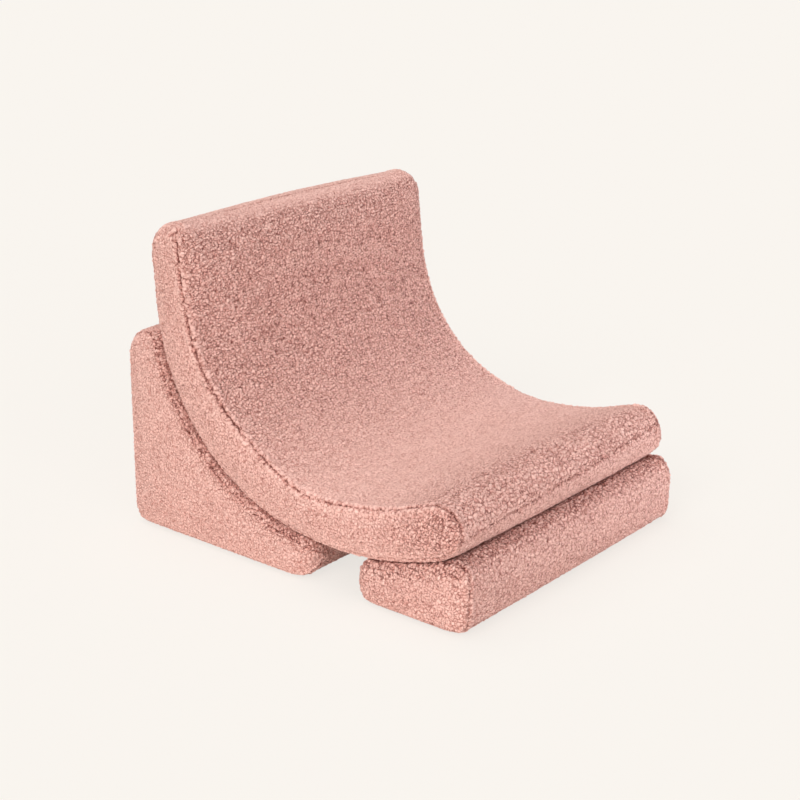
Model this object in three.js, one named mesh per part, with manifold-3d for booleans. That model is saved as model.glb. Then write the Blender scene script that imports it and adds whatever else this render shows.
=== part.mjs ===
// A low floor armchair for a small child, made of three foam cushions in fleece covers.
// A curved seat shell leans in the hollow face of a rear wedge, and its nose lies on a front block.
// Strips of hook and loop hold the cushions together, so the shell lifts off and the block pulls away.
// Each cover has a zip underneath, with a slider that a child can't open, and comes off for washing.
//
// The chair faces -Y, its width runs along X, and it stands on the floor at z = 0.
// The cushions are drawn in side view: u runs forward from the wedge's back, v runs up from the floor,
// and w runs across the width. A group turns that view into the chair's own frame at the end.

import * as THREE from 'three';
import Module from 'manifold-3d';
import { mergeVertices } from 'three/addons/utils/BufferGeometryUtils.js';

const wasm = await Module();
wasm.setup();

// Driving sizes, in millimetres and degrees

const CHAIR_WIDTH = 500;
const CLEARANCE = 0.3;

// Curved seat shell: the face that is sat on is a leaning back, two bends and a rising nose
const SHELL_THICKNESS = 70;
const BACK_BEND_RADIUS = 216;
const SEAT_BEND_RADIUS = 342;
const BACK_LEAN = 4.3;
const BEND_MEETING_FALL = 14.8;
const NOSE_RISE = 17.4;
const SEAT_HEIGHT = 130;
const BACKREST_HEIGHT = 439;
const SHELL_TOP_ROUNDING = 32;
const SHELL_NOSE_ROUNDING = 33;

// Rear wedge, hollowed to take the shell. Its crest depth is that of its top, behind the hollow.
const WEDGE_HEIGHT = 286;
const WEDGE_DEPTH = 333;
const WEDGE_CREST_DEPTH = 65.8;
const WEDGE_BACK_ROUNDING = 39;
const WEDGE_LIP_ROUNDING = 15;
const WEDGE_FOOT_ROUNDING = 30;

// Front block under the nose of the shell, which ends a little behind the block's front
const CUSHION_GAP = 78;
const BLOCK_DEPTH = 175;
const NOSE_SETBACK = 20;
const BLOCK_FRONT_ROUNDING = 26;
const BLOCK_BACK_ROUNDING = 27;

// Soft form that all three cushions share
const FACE_EDGE_ROUNDING = 12;
const END_EDGE_ROUNDING = 24;
const SEAT_CROWN = 6;
const BASE_CUSHION_CROWN = 3;
const SIDE_CROWN = 3;
const SIDE_CROWN_BORDER = 12;
const LEAST_ROUNDING = 1.5;

// Covers and the base panels that the wedge and the block stand on
const COVER_WALL = 7;
const BASE_THICKNESS = 3.5;
const BASE_RIM = 6;
const BASE_CORNER_RADIUS = 12;

// Zips
const ZIP_SIDE_INSET = 60;
const ZIP_TAPE_WIDTH = 12;
const ZIP_TAPE_THICKNESS = 0.6;
const ZIP_TAPE_OVERRUN = 12;
const ZIP_COIL_WIDTH = 5;
const ZIP_COIL_HEIGHT = 1.6;
const SLIDER_LENGTH = 13;
const SLIDER_WALL = 1;
const SLIDER_END_GAP = 3;
const ZIP_SLOT_MARGIN = 2;
const BASE_ZIP_SETBACK = 60;

// Hook and loop strips
const STRIP_THICKNESS = 1;
const STRIP_SEAT = 0.45;
const STRIP_WIDTH = 25;
const STRIP_LENGTH = 120;
const STRIP_SIDE_INSET = 60;
const WEDGE_STRIP_FALL = 42;
const BLOCK_STRIP_SETBACK = 38;

// Fineness of the curves
const CURVE_TOLERANCE = 0.33;
const CORNER_STEPS = 4;
const EDGE_STEPS = 4;
const INNER_EDGE_STEPS = 2;
const CROWN_STEPS = 2;
const SMALL_CURVE_STEPS = 3;
const INNER_DETAIL = 0.5;
const MERGE_DISTANCE = 1e-4;

// Sizes that follow from the driving ones

const HALF_WIDTH = CHAIR_WIDTH / 2;
const STRIP_STACK = 2 * STRIP_SEAT + 2 * STRIP_THICKNESS + CLEARANCE;
const UNDERSIDE_RADIUS = SEAT_BEND_RADIUS + SHELL_THICKNESS;
const BLOCK_BACK = WEDGE_DEPTH + CUSHION_GAP;
const BLOCK_FRONT = BLOCK_BACK + BLOCK_DEPTH;
const NOSE_REACH = BLOCK_FRONT - NOSE_SETBACK;
const ZIP_LENGTH = CHAIR_WIDTH - 2 * ZIP_SIDE_INSET;
const SLIDER_WIDTH = ZIP_COIL_WIDTH + 2 * CLEARANCE + 2 * SLIDER_WALL;
const ZIP_SLOT_WIDTH = SLIDER_WIDTH + 2 * ZIP_SLOT_MARGIN;

// Side-view geometry

const radians = THREE.MathUtils.degToRad;
const BACK_SLOPE = radians(BACK_LEAN - 90);
const MEETING_SLOPE = radians(-BEND_MEETING_FALL);
const NOSE_SLOPE = radians(NOSE_RISE);

// The way a curve runs at a slope, and the way that points below and outside it there.
const along = (slope) => new THREE.Vector2(Math.cos(slope), Math.sin(slope));
const outward = (slope) => new THREE.Vector2(Math.sin(slope), -Math.cos(slope));

// Depth below the seat face at which the wedge and the block begin.
const CRADLE_DEPTH = SHELL_THICKNESS + STRIP_STACK;

// The two bends' centres. The back bend is placed so that the wedge's hollow meets its top at the
// crest, and both bends run the same way where they meet.
const bendStep = outward(MEETING_SLOPE).multiplyScalar(SEAT_BEND_RADIUS - BACK_BEND_RADIUS);
const backCentreHeight = SEAT_HEIGHT + SEAT_BEND_RADIUS + bendStep.y;
const backHollowRadius = BACK_BEND_RADIUS + CRADLE_DEPTH;
const seatHollowRadius = SEAT_BEND_RADIUS + CRADLE_DEPTH;
const crestSlope = -Math.acos((backCentreHeight - WEDGE_HEIGHT) / backHollowRadius);
const backCentre = new THREE.Vector2(
  WEDGE_CREST_DEPTH - backHollowRadius * Math.sin(crestSlope),
  backCentreHeight,
);
const seatCentre = backCentre.clone().sub(bendStep);

// A point at a depth below the seat face, where the face has the given slope.
function pointUnder(centre, radius, slope, depth) {
  return centre.clone().addScaledVector(outward(slope), radius + depth);
}
const underSeat = (slope, depth) => pointUnder(seatCentre, SEAT_BEND_RADIUS, slope, depth);
const underBack = (slope, depth) => pointUnder(backCentre, BACK_BEND_RADIUS, slope, depth);

// An outline is a list of edges that run anticlockwise. Each edge is a line or an arc, with the
// rounding towards the cushion's sides, the crown in mid-width and the cover's wall. Where an edge
// ends, it either flows on smoothly at a point or has a rounded corner near that point.
function line(point, direction, form) {
  return { point, direction, ...form };
}
function arc(centre, radius, turn, form) {
  return { centre, radius, turn, ...form };
}
const smooth = (near) => ({ near, rounding: 0 });
const corner = (near, rounding) => ({ near, rounding });

// The edge moved in towards the inside of the outline.
function movedIn(edge, inset) {
  if (edge.centre) {
    return { ...edge, radius: edge.radius - edge.turn * inset };
  }
  const inwards = new THREE.Vector2(-edge.direction.y, edge.direction.x);
  return { ...edge, point: edge.point.clone().addScaledVector(inwards, inset) };
}

// The nearest point of an edge.
function footOn(edge, point) {
  if (edge.centre) {
    return point.clone().sub(edge.centre).setLength(edge.radius).add(edge.centre);
  }
  const run = point.clone().sub(edge.point).dot(edge.direction);
  return edge.point.clone().addScaledVector(edge.direction, run);
}

// Where two edges cross, of which at least one is a line, taking the crossing closest to a point.
function crossing(first, second, near) {
  const [straight, other] = first.centre ? [second, first] : [first, second];
  if (other.centre) {
    const reach = straight.point.clone().sub(other.centre);
    const half = reach.dot(straight.direction);
    const root = Math.sqrt(half * half - reach.lengthSq() + other.radius * other.radius);
    const found = [-half - root, -half + root].map((run) =>
      straight.point.clone().addScaledVector(straight.direction, run),
    );
    found.sort((a, b) => a.distanceTo(near) - b.distanceTo(near));
    return found[0];
  }
  const between = other.point.clone().sub(straight.point);
  const run = between.cross(other.direction) / straight.direction.cross(other.direction);
  return straight.point.clone().addScaledVector(straight.direction, run);
}

// Points of an arc from one point up to, but without, another.
function arcPoints(centre, from, to, turn, steps) {
  const start = from.clone().sub(centre);
  const end = to.clone().sub(centre);
  let sweep = Math.atan2(start.cross(end), start.dot(end));
  if (sweep * turn < 0) {
    sweep += turn * 2 * Math.PI;
  }
  return Array.from({ length: steps }, (_, i) =>
    from.clone().rotateAround(centre, (sweep * i) / steps),
  );
}

// How many chords keep an arc within the curve tolerance, times the detail wanted.
function arcSteps(radius, sweep, detail) {
  const widest = 2 * Math.acos(1 - CURVE_TOLERANCE / radius);
  return Math.max(2, Math.ceil((Math.abs(sweep) / widest) * detail));
}

// The outline's points with each edge moved in by its own inset.
function outlinePoints(outline, insetOf, detail) {
  const { edges, joints } = outline;
  const insets = edges.map(insetOf);
  const moved = edges.map((edge, i) => movedIn(edge, insets[i]));
  const ends = joints.map((joint, i) => {
    const after = (i + 1) % edges.length;
    if (joint.rounding === 0) {
      const point = footOn(moved[i], joint.near);
      return { leave: point, arrive: point.clone() };
    }
    const inset = (insets[i] + insets[after]) / 2;
    const rounding = Math.max(joint.rounding - inset, LEAST_ROUNDING);
    const inner = [movedIn(moved[i], rounding), movedIn(moved[after], rounding)];
    const centre = crossing(inner[0], inner[1], joint.near);
    return { leave: footOn(moved[i], centre), arrive: footOn(moved[after], centre), centre };
  });
  return edges.flatMap((edge, i) => {
    const from = ends[(i + edges.length - 1) % edges.length].arrive;
    const { leave, arrive, centre } = ends[i];
    const steps = edge.centre ? arcSteps(edge.radius, edge.sweep, detail) : 1;
    const run = edge.centre
      ? arcPoints(edge.centre, from, leave, edge.turn, steps)
      : [from.clone()];
    const bend = centre ? arcPoints(centre, leave, arrive, 1, CORNER_STEPS) : [];
    return [...run, ...bend];
  });
}

// How far an edge is drawn in at a distance from the side, where it is rounded over.
function roundedOver(rounding, distance) {
  const rest = rounding - distance;
  return rest > 0 ? rounding - Math.sqrt(rounding * rounding - rest * rest) : 0;
}

// A closed solid skinned over rings of equal length, each { w, points }, from low w to high w.
function skinned(rings) {
  const count = rings[0].points.length;
  const corners = rings.flatMap(({ w, points }) => points.flatMap((p) => [p.x, p.y, w]));
  const faces = [];
  for (let ring = 0; ring < rings.length - 1; ring++) {
    for (let i = 0; i < count; i++) {
      const next = (i + 1) % count;
      const [a, b] = [ring * count + i, ring * count + next];
      faces.push(a, b, b + count, a, b + count, a + count);
    }
  }
  const last = (rings.length - 1) * count;
  for (const [a, b, c] of THREE.ShapeUtils.triangulateShape(rings[0].points, [])) {
    faces.push(c, b, a);
  }
  for (const [a, b, c] of THREE.ShapeUtils.triangulateShape(rings.at(-1).points, [])) {
    faces.push(last + a, last + b, last + c);
  }
  const geometry = new THREE.BufferGeometry();
  geometry.setAttribute('position', new THREE.Float32BufferAttribute(corners, 3));
  geometry.setIndex(faces);
  return geometry;
}

// Share of the crown at a place across the width: all of it in the middle, none at the sides.
const crownShare = (w) => 1 - (w / HALF_WIDTH) ** 2;

// The rings of a cushion, from its middle out to one side and mirrored for the other.
function cushionRings(outline, { shrink, sideAt, bulge, edgeSteps, crownSteps, detail }) {
  const largest = Math.max(...outline.edges.map((edge) => edge.rounding - shrink(edge)));
  const ringAt = (w, border) => ({
    w,
    points: outlinePoints(
      outline,
      (edge) => {
        const rounding = Math.max(edge.rounding - shrink(edge), LEAST_ROUNDING);
        const drawnIn = roundedOver(rounding, sideAt - w);
        return shrink(edge) + drawnIn + border - edge.crown * crownShare(w);
      },
      detail,
    ),
  });
  const half = [];
  for (let i = 0; i < crownSteps; i++) {
    half.push(ringAt(((sideAt - largest) * i) / crownSteps, 0));
  }
  for (let i = 0; i <= edgeSteps; i++) {
    const turn = (Math.PI / 2) * (1 - i / edgeSteps);
    half.push(ringAt(sideAt - largest * (1 - Math.cos(turn)), 0));
  }
  if (bulge > 0) {
    const domed = ringAt(sideAt, SIDE_CROWN_BORDER);
    half.push({ ...domed, w: sideAt + bulge });
  }
  const mirrored = half
    .slice(1)
    .reverse()
    .map((ring) => ({ ...ring, w: -ring.w }));
  return [...mirrored, ...half];
}

// The outside of a cushion's cover, and its inside drawn in by the cover's wall and a clearance.
function outerForm(outline) {
  return skinned(
    cushionRings(outline, {
      shrink: () => 0,
      sideAt: HALF_WIDTH - SIDE_CROWN,
      bulge: SIDE_CROWN,
      edgeSteps: EDGE_STEPS,
      crownSteps: CROWN_STEPS,
      detail: 1,
    }),
  );
}
function innerForm(outline, clearance) {
  return skinned(
    cushionRings(outline, {
      shrink: (edge) => edge.wall + clearance,
      sideAt: HALF_WIDTH - SIDE_CROWN - COVER_WALL - clearance,
      bulge: 0,
      edgeSteps: INNER_EDGE_STEPS,
      crownSteps: 1,
      detail: INNER_DETAIL,
    }),
  );
}

// Joining and cutting

function toSolid(geometry) {
  const bare = geometry.clone();
  bare.deleteAttribute('normal');
  bare.deleteAttribute('uv');
  const merged = mergeVertices(bare, MERGE_DISTANCE);
  const mesh = new wasm.Mesh({
    numProp: 3,
    vertProperties: merged.attributes.position.array,
    triVerts: new Uint32Array(merged.index.array),
  });
  return new wasm.Manifold(mesh);
}

function toGeometry(solid) {
  const { vertProperties, triVerts } = solid.getMesh();
  const geometry = new THREE.BufferGeometry();
  geometry.setAttribute('position', new THREE.BufferAttribute(vertProperties, 3));
  geometry.setIndex(new THREE.BufferAttribute(triVerts, 1));
  return geometry;
}

function cut(geometry, ...tools) {
  const left = tools.reduce((solid, tool) => solid.subtract(toSolid(tool)), toSolid(geometry));
  return toGeometry(left);
}

// A box from one corner to the other, each given as u, v and w.
function boxBetween(low, high) {
  const size = high.map((value, i) => value - low[i]);
  const middle = high.map((value, i) => (value + low[i]) / 2);
  return new THREE.BoxGeometry(...size).translate(...middle);
}

// A side-view shape drawn across the width, centred on w = 0.
function drawnAcross(shape, length) {
  const settings = { depth: length, bevelEnabled: false, curveSegments: SMALL_CURVE_STEPS };
  return new THREE.ExtrudeGeometry(shape, settings).translate(0, 0, -length / 2);
}

// Materials

const finish = (color, roughness, metalness = 0) => ({ color, roughness, metalness });
const FLEECE = finish(0xdba79b, 0.95);
const FOAM = finish(0xf2ead2, 0.9);
const BASE_CLOTH = finish(0xb9aca6, 0.85);
const ZIP_CLOTH = finish(0xc98f86, 0.8);
const ZIP_COIL = finish(0xc48479, 0.45);
const SLIDER_LACQUER = finish(0xb98a82, 0.35, 0.6);
const HOOK_TAPE = finish(0xe8dcd0, 0.7);
const LOOP_TAPE = finish(0xeee4da, 0.95);

function piece(name, geometry, material) {
  const mesh = new THREE.Mesh(geometry, new THREE.MeshStandardMaterial(material));
  mesh.name = name;
  return mesh;
}

// Outlines of the three cushions

const seatFace = { rounding: FACE_EDGE_ROUNDING, crown: SEAT_CROWN, wall: COVER_WALL };
const shellEnd = { rounding: END_EDGE_ROUNDING, crown: SEAT_CROWN, wall: COVER_WALL };
const restingFace = { rounding: FACE_EDGE_ROUNDING, crown: 0, wall: COVER_WALL };
const freeFace = { rounding: END_EDGE_ROUNDING, crown: BASE_CUSHION_CROWN, wall: COVER_WALL };
const tipFace = { rounding: END_EDGE_ROUNDING, crown: 0, wall: COVER_WALL };
const floorFace = { rounding: FACE_EDGE_ROUNDING, crown: 0, wall: BASE_THICKNESS };

function shellOutline() {
  const back = underBack(BACK_SLOPE, SHELL_THICKNESS);
  const nose = underSeat(NOSE_SLOPE, SHELL_THICKNESS);
  const middle = SHELL_THICKNESS / 2;
  const backMiddle = underBack(BACK_SLOPE, middle);
  const noseMiddle = underSeat(NOSE_SLOPE, middle);
  const up = (backMiddle.y - BACKREST_HEIGHT) / along(BACK_SLOPE).y;
  const out = (NOSE_REACH - noseMiddle.x) / along(NOSE_SLOPE).x;
  const top = backMiddle.clone().addScaledVector(along(BACK_SLOPE), -up);
  const tip = noseMiddle.clone().addScaledVector(along(NOSE_SLOPE), out);
  const beside = (point, slope, depth) => point.clone().addScaledVector(outward(slope), depth);
  const reversed = (slope) => along(slope).negate();
  const fullRound = middle - LEAST_ROUNDING;
  const noseRounding = Math.min(SHELL_NOSE_ROUNDING, fullRound);
  const topRounding = Math.min(SHELL_TOP_ROUNDING, fullRound);
  return {
    edges: [
      line(back, along(BACK_SLOPE), restingFace),
      arc(backCentre, BACK_BEND_RADIUS + SHELL_THICKNESS, 1, {
        ...restingFace,
        sweep: MEETING_SLOPE - BACK_SLOPE,
      }),
      arc(seatCentre, UNDERSIDE_RADIUS, 1, { ...restingFace, sweep: NOSE_SLOPE - MEETING_SLOPE }),
      line(nose, along(NOSE_SLOPE), restingFace),
      line(tip, outward(NOSE_SLOPE).negate(), shellEnd),
      line(underSeat(NOSE_SLOPE, 0), reversed(NOSE_SLOPE), seatFace),
      arc(seatCentre, SEAT_BEND_RADIUS, -1, { ...seatFace, sweep: NOSE_SLOPE - MEETING_SLOPE }),
      arc(backCentre, BACK_BEND_RADIUS, -1, { ...seatFace, sweep: MEETING_SLOPE - BACK_SLOPE }),
      line(underBack(BACK_SLOPE, 0), reversed(BACK_SLOPE), seatFace),
      line(top, outward(BACK_SLOPE), shellEnd),
    ],
    joints: [
      smooth(back),
      smooth(underSeat(MEETING_SLOPE, SHELL_THICKNESS)),
      smooth(nose),
      corner(beside(tip, NOSE_SLOPE, middle), noseRounding),
      corner(beside(tip, NOSE_SLOPE, -middle), noseRounding),
      smooth(underSeat(NOSE_SLOPE, 0)),
      smooth(underSeat(MEETING_SLOPE, 0)),
      smooth(underBack(BACK_SLOPE, 0)),
      corner(beside(top, BACK_SLOPE, -middle), topRounding),
      corner(beside(top, BACK_SLOPE, middle), topRounding),
    ],
  };
}

const FORWARD = along(0);
const UPWARD = along(Math.PI / 2);
const BACKWARD = along(Math.PI);
const DOWNWARD = along(-Math.PI / 2);

function wedgeOutline() {
  const meeting = underSeat(MEETING_SLOPE, CRADLE_DEPTH);
  const lipSlope = Math.asin((WEDGE_DEPTH - seatCentre.x) / seatHollowRadius);
  const lip = underSeat(lipSlope, CRADLE_DEPTH);
  const crest = underBack(crestSlope, CRADLE_DEPTH);
  const lipReach = WEDGE_LIP_ROUNDING / Math.tan(-crestSlope / 2);
  const backRoom = WEDGE_CREST_DEPTH - lipReach - LEAST_ROUNDING;
  return {
    edges: [
      line(new THREE.Vector2(0, 0), FORWARD, floorFace),
      line(new THREE.Vector2(WEDGE_DEPTH, 0), UPWARD, tipFace),
      arc(seatCentre, seatHollowRadius, -1, { ...restingFace, sweep: lipSlope - MEETING_SLOPE }),
      arc(backCentre, backHollowRadius, -1, { ...restingFace, sweep: MEETING_SLOPE - crestSlope }),
      line(new THREE.Vector2(0, WEDGE_HEIGHT), BACKWARD, freeFace),
      line(new THREE.Vector2(0, 0), DOWNWARD, freeFace),
    ],
    joints: [
      corner(new THREE.Vector2(WEDGE_DEPTH, 0), WEDGE_FOOT_ROUNDING),
      corner(lip, WEDGE_LIP_ROUNDING),
      smooth(meeting),
      corner(crest, WEDGE_LIP_ROUNDING),
      corner(new THREE.Vector2(0, WEDGE_HEIGHT), Math.min(WEDGE_BACK_ROUNDING, backRoom)),
      corner(new THREE.Vector2(0, 0), WEDGE_FOOT_ROUNDING),
    ],
  };
}

function blockOutline() {
  const nose = underSeat(NOSE_SLOPE, CRADLE_DEPTH);
  const backSlope = Math.asin((BLOCK_BACK - seatCentre.x) / seatHollowRadius);
  const brow = new THREE.Vector2(BLOCK_FRONT, nose.y + (BLOCK_FRONT - nose.x) * Math.tan(NOSE_SLOPE));
  return {
    edges: [
      line(new THREE.Vector2(0, 0), FORWARD, floorFace),
      line(new THREE.Vector2(BLOCK_FRONT, 0), UPWARD, freeFace),
      line(nose, along(NOSE_SLOPE).negate(), restingFace),
      arc(seatCentre, seatHollowRadius, -1, { ...restingFace, sweep: NOSE_SLOPE - backSlope }),
      line(new THREE.Vector2(BLOCK_BACK, 0), DOWNWARD, tipFace),
    ],
    joints: [
      corner(new THREE.Vector2(BLOCK_FRONT, 0), BLOCK_FRONT_ROUNDING),
      corner(brow, BLOCK_FRONT_ROUNDING),
      smooth(nose),
      corner(underSeat(backSlope, CRADLE_DEPTH), BLOCK_BACK_ROUNDING),
      corner(new THREE.Vector2(BLOCK_BACK, 0), BLOCK_BACK_ROUNDING),
    ],
  };
}

// A zip that opens downwards: two tapes above the wall it is set in, the closed coil under them,
// and a slider that wraps the coil from below. It lies across the width at u, on a wall whose
// inner face is at the given height.
function zipParts(prefix, u, wallTop) {
  const pastTheWall = wallTop - COVER_WALL - BASE_THICKNESS;
  const tapeBottom = wallTop + CLEARANCE;
  const tapeTop = tapeBottom + ZIP_TAPE_THICKNESS;
  const coilTop = tapeBottom - CLEARANCE;
  const coilBottom = coilTop - ZIP_COIL_HEIGHT;
  const reach = ZIP_LENGTH / 2;
  const tapeReach = reach + ZIP_TAPE_OVERRUN;
  const tapeEdge = CLEARANCE / 2;

  const tape = (from, to) => boxBetween([u + from, tapeBottom, -tapeReach], [u + to, tapeTop, tapeReach]);

  const coilShape = new THREE.Shape();
  const round = ZIP_COIL_HEIGHT / 2;
  const coilMiddle = (coilTop + coilBottom) / 2;
  const coilReach = ZIP_COIL_WIDTH / 2 - round;
  coilShape.absarc(u + coilReach, coilMiddle, round, -Math.PI / 2, Math.PI / 2, false);
  coilShape.absarc(u - coilReach, coilMiddle, round, Math.PI / 2, (3 * Math.PI) / 2, false);

  const sliderShape = new THREE.Shape();
  const inside = ZIP_COIL_WIDTH / 2 + CLEARANCE;
  const outside = SLIDER_WIDTH / 2;
  const floor = coilBottom - CLEARANCE;
  sliderShape.moveTo(u - outside, floor - SLIDER_WALL);
  sliderShape.lineTo(u + outside, floor - SLIDER_WALL);
  sliderShape.lineTo(u + outside, coilTop);
  sliderShape.lineTo(u + inside, coilTop);
  sliderShape.lineTo(u + inside, floor);
  sliderShape.lineTo(u - inside, floor);
  sliderShape.lineTo(u - inside, coilTop);
  sliderShape.lineTo(u - outside, coilTop);
  sliderShape.closePath();
  const slider = piece(`${prefix}_zip_slider`, drawnAcross(sliderShape, SLIDER_LENGTH), SLIDER_LACQUER);
  slider.position.z = -(reach - SLIDER_END_GAP - SLIDER_LENGTH / 2);

  return {
    pieces: [
      piece(`${prefix}_zip_tape_rear`, tape(-ZIP_TAPE_WIDTH, -tapeEdge), ZIP_CLOTH),
      piece(`${prefix}_zip_tape_front`, tape(tapeEdge, ZIP_TAPE_WIDTH), ZIP_CLOTH),
      piece(`${prefix}_zip_coil`, drawnAcross(coilShape, ZIP_LENGTH), ZIP_COIL),
      slider,
    ],
    slot: boxBetween(
      [u - ZIP_SLOT_WIDTH / 2, pastTheWall, -reach - CLEARANCE],
      [u + ZIP_SLOT_WIDTH / 2, wallTop + CLEARANCE, reach + CLEARANCE],
    ),
    pocket: boxBetween(
      [u - ZIP_TAPE_WIDTH - CLEARANCE, wallTop, -tapeReach - CLEARANCE],
      [u + ZIP_TAPE_WIDTH + CLEARANCE, tapeTop + CLEARANCE, tapeReach + CLEARANCE],
    ),
  };
}

// A curved strip that follows the shell's underside, between two depths below the seat face.
function curvedStrip(centre, radius, slope, depth) {
  const inner = radius + depth;
  const half = STRIP_WIDTH / 2 / inner;
  const middle = slope - Math.PI / 2;
  const shape = new THREE.Shape();
  shape.absarc(centre.x, centre.y, inner + STRIP_THICKNESS, middle - half, middle + half, false);
  shape.absarc(centre.x, centre.y, inner, middle + half, middle - half, true);
  return drawnAcross(shape, STRIP_LENGTH);
}

// A flat strip under the straight nose, centred at a distance back from the nose's tip.
function flatStrip(depth) {
  const start = underSeat(NOSE_SLOPE, depth);
  const run = (NOSE_REACH - BLOCK_STRIP_SETBACK - start.x) / Math.cos(NOSE_SLOPE);
  const middle = start
    .addScaledVector(along(NOSE_SLOPE), run)
    .addScaledVector(outward(NOSE_SLOPE), STRIP_THICKNESS / 2);
  return new THREE.BoxGeometry(STRIP_WIDTH, STRIP_THICKNESS, STRIP_LENGTH)
    .rotateZ(NOSE_SLOPE)
    .translate(middle.x, middle.y, 0);
}

// The same strip near the left and the right side.
function stripPair(name, geometry, material) {
  const offset = HALF_WIDTH - STRIP_SIDE_INSET - STRIP_LENGTH / 2;
  return ['left', 'right'].map((side) => {
    const strip = piece(`${name}_${side}`, geometry, material);
    strip.position.z = side === 'left' ? -offset : offset;
    return strip;
  });
}

const LOOP_DEPTH = SHELL_THICKNESS + STRIP_SEAT;
const HOOK_DEPTH = LOOP_DEPTH + STRIP_THICKNESS + CLEARANCE;
const WEDGE_STRIP_SLOPE = radians(-WEDGE_STRIP_FALL);
const wedgeStrip = (depth) =>
  curvedStrip(backCentre, BACK_BEND_RADIUS, WEDGE_STRIP_SLOPE, depth);

// The flat panel of gripping cloth that closes a cover's floor face, and the opening it fills.
function basePanel(from, to, grow) {
  const halfLength = (to - from) / 2 + grow;
  const halfAcross = HALF_WIDTH - SIDE_CROWN - END_EDGE_ROUNDING - BASE_RIM + grow;
  const radius = BASE_CORNER_RADIUS + grow;
  const shape = new THREE.Shape();
  const [u, w] = [halfLength - radius, halfAcross - radius];
  shape.absarc(u, w, radius, 0, Math.PI / 2, false);
  shape.absarc(-u, w, radius, Math.PI / 2, Math.PI, false);
  shape.absarc(-u, -w, radius, Math.PI, 1.5 * Math.PI, false);
  shape.absarc(u, -w, radius, 1.5 * Math.PI, 2 * Math.PI, false);
  const settings = {
    depth: BASE_THICKNESS,
    bevelEnabled: false,
    curveSegments: SMALL_CURVE_STEPS,
  };
  return new THREE.ExtrudeGeometry(shape, settings)
    .rotateX(-Math.PI / 2)
    .translate((from + to) / 2, 0, 0);
}

// The opening runs a little past both faces of the wall, so that it cuts clean through.
function baseOpening(from, to) {
  return basePanel(from, to, CLEARANCE)
    .scale(1, 1 + (2 * CLEARANCE) / BASE_THICKNESS, 1)
    .translate(0, -CLEARANCE, 0);
}

// The cushions

function shellCushion() {
  const outline = shellOutline();
  const lowest = SEAT_HEIGHT - SHELL_THICKNESS;
  const zip = zipParts('seat_shell', seatCentre.x, lowest + COVER_WALL);
  const cover = cut(outerForm(outline), innerForm(outline, 0), zip.slot, zip.pocket);
  const foam = cut(innerForm(outline, CLEARANCE), zip.pocket);
  return [
    piece('seat_shell_foam', foam, FOAM),
    piece('seat_shell_cover', cover, FLEECE),
    ...zip.pieces,
    ...stripPair('seat_shell_loop_strip_rear', wedgeStrip(LOOP_DEPTH), LOOP_TAPE),
    ...stripPair('seat_shell_loop_strip_front', flatStrip(LOOP_DEPTH), LOOP_TAPE),
  ];
}

function standingCushion(prefix, outline, from, to, hookStrip) {
  const zip = zipParts(prefix, from + BASE_ZIP_SETBACK, BASE_THICKNESS);
  const opening = baseOpening(from, to);
  const cover = cut(outerForm(outline), innerForm(outline, 0), opening);
  const foam = cut(innerForm(outline, CLEARANCE), zip.pocket);
  return [
    piece(`${prefix}_foam`, foam, FOAM),
    piece(`${prefix}_cover`, cover, FLEECE),
    piece(`${prefix}_base_panel`, cut(basePanel(from, to, 0), zip.slot), BASE_CLOTH),
    ...zip.pieces,
    ...stripPair(`${prefix}_hook_strip`, hookStrip, HOOK_TAPE),
  ];
}

const wedgeCushion = standingCushion(
  'rear_wedge',
  wedgeOutline(),
  WEDGE_FOOT_ROUNDING + BASE_RIM,
  WEDGE_DEPTH - WEDGE_FOOT_ROUNDING - BASE_RIM,
  wedgeStrip(HOOK_DEPTH),
);

const blockCushion = standingCushion(
  'front_block',
  blockOutline(),
  BLOCK_BACK + BLOCK_BACK_ROUNDING + BASE_RIM,
  BLOCK_FRONT - BLOCK_FRONT_ROUNDING - BASE_RIM,
  flatStrip(HOOK_DEPTH),
);

// The side view turned into the chair's frame: forward is -Y, up is +Z, and w runs to -X.
// Its origin is on the floor, in the middle of the chair's width and depth.
const sideView = new THREE.Group();
sideView.quaternion.setFromRotationMatrix(
  new THREE.Matrix4().makeBasis(
    new THREE.Vector3(0, -1, 0),
    new THREE.Vector3(0, 0, 1),
    new THREE.Vector3(-1, 0, 0),
  ),
);
sideView.position.y = BLOCK_FRONT / 2;
sideView.add(...shellCushion(), ...wedgeCushion, ...blockCushion);

const group = new THREE.Group();
group.add(sideView);

export default group;
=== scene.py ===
# %% [markdown]
# A low armchair for a small child, dressed for its picture. The real one is three foam cushions in
# a deep, curly fleece: a bent seat shell, a hollow wedge that it leans in, and a block under its
# nose. The frame gives every place and size, so it is loaded first and its box is noted. What this
# notebook adds is the soft part of the job: covers that swell between their seams, puckers, pile,
# and the small sewn things underneath.

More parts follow.
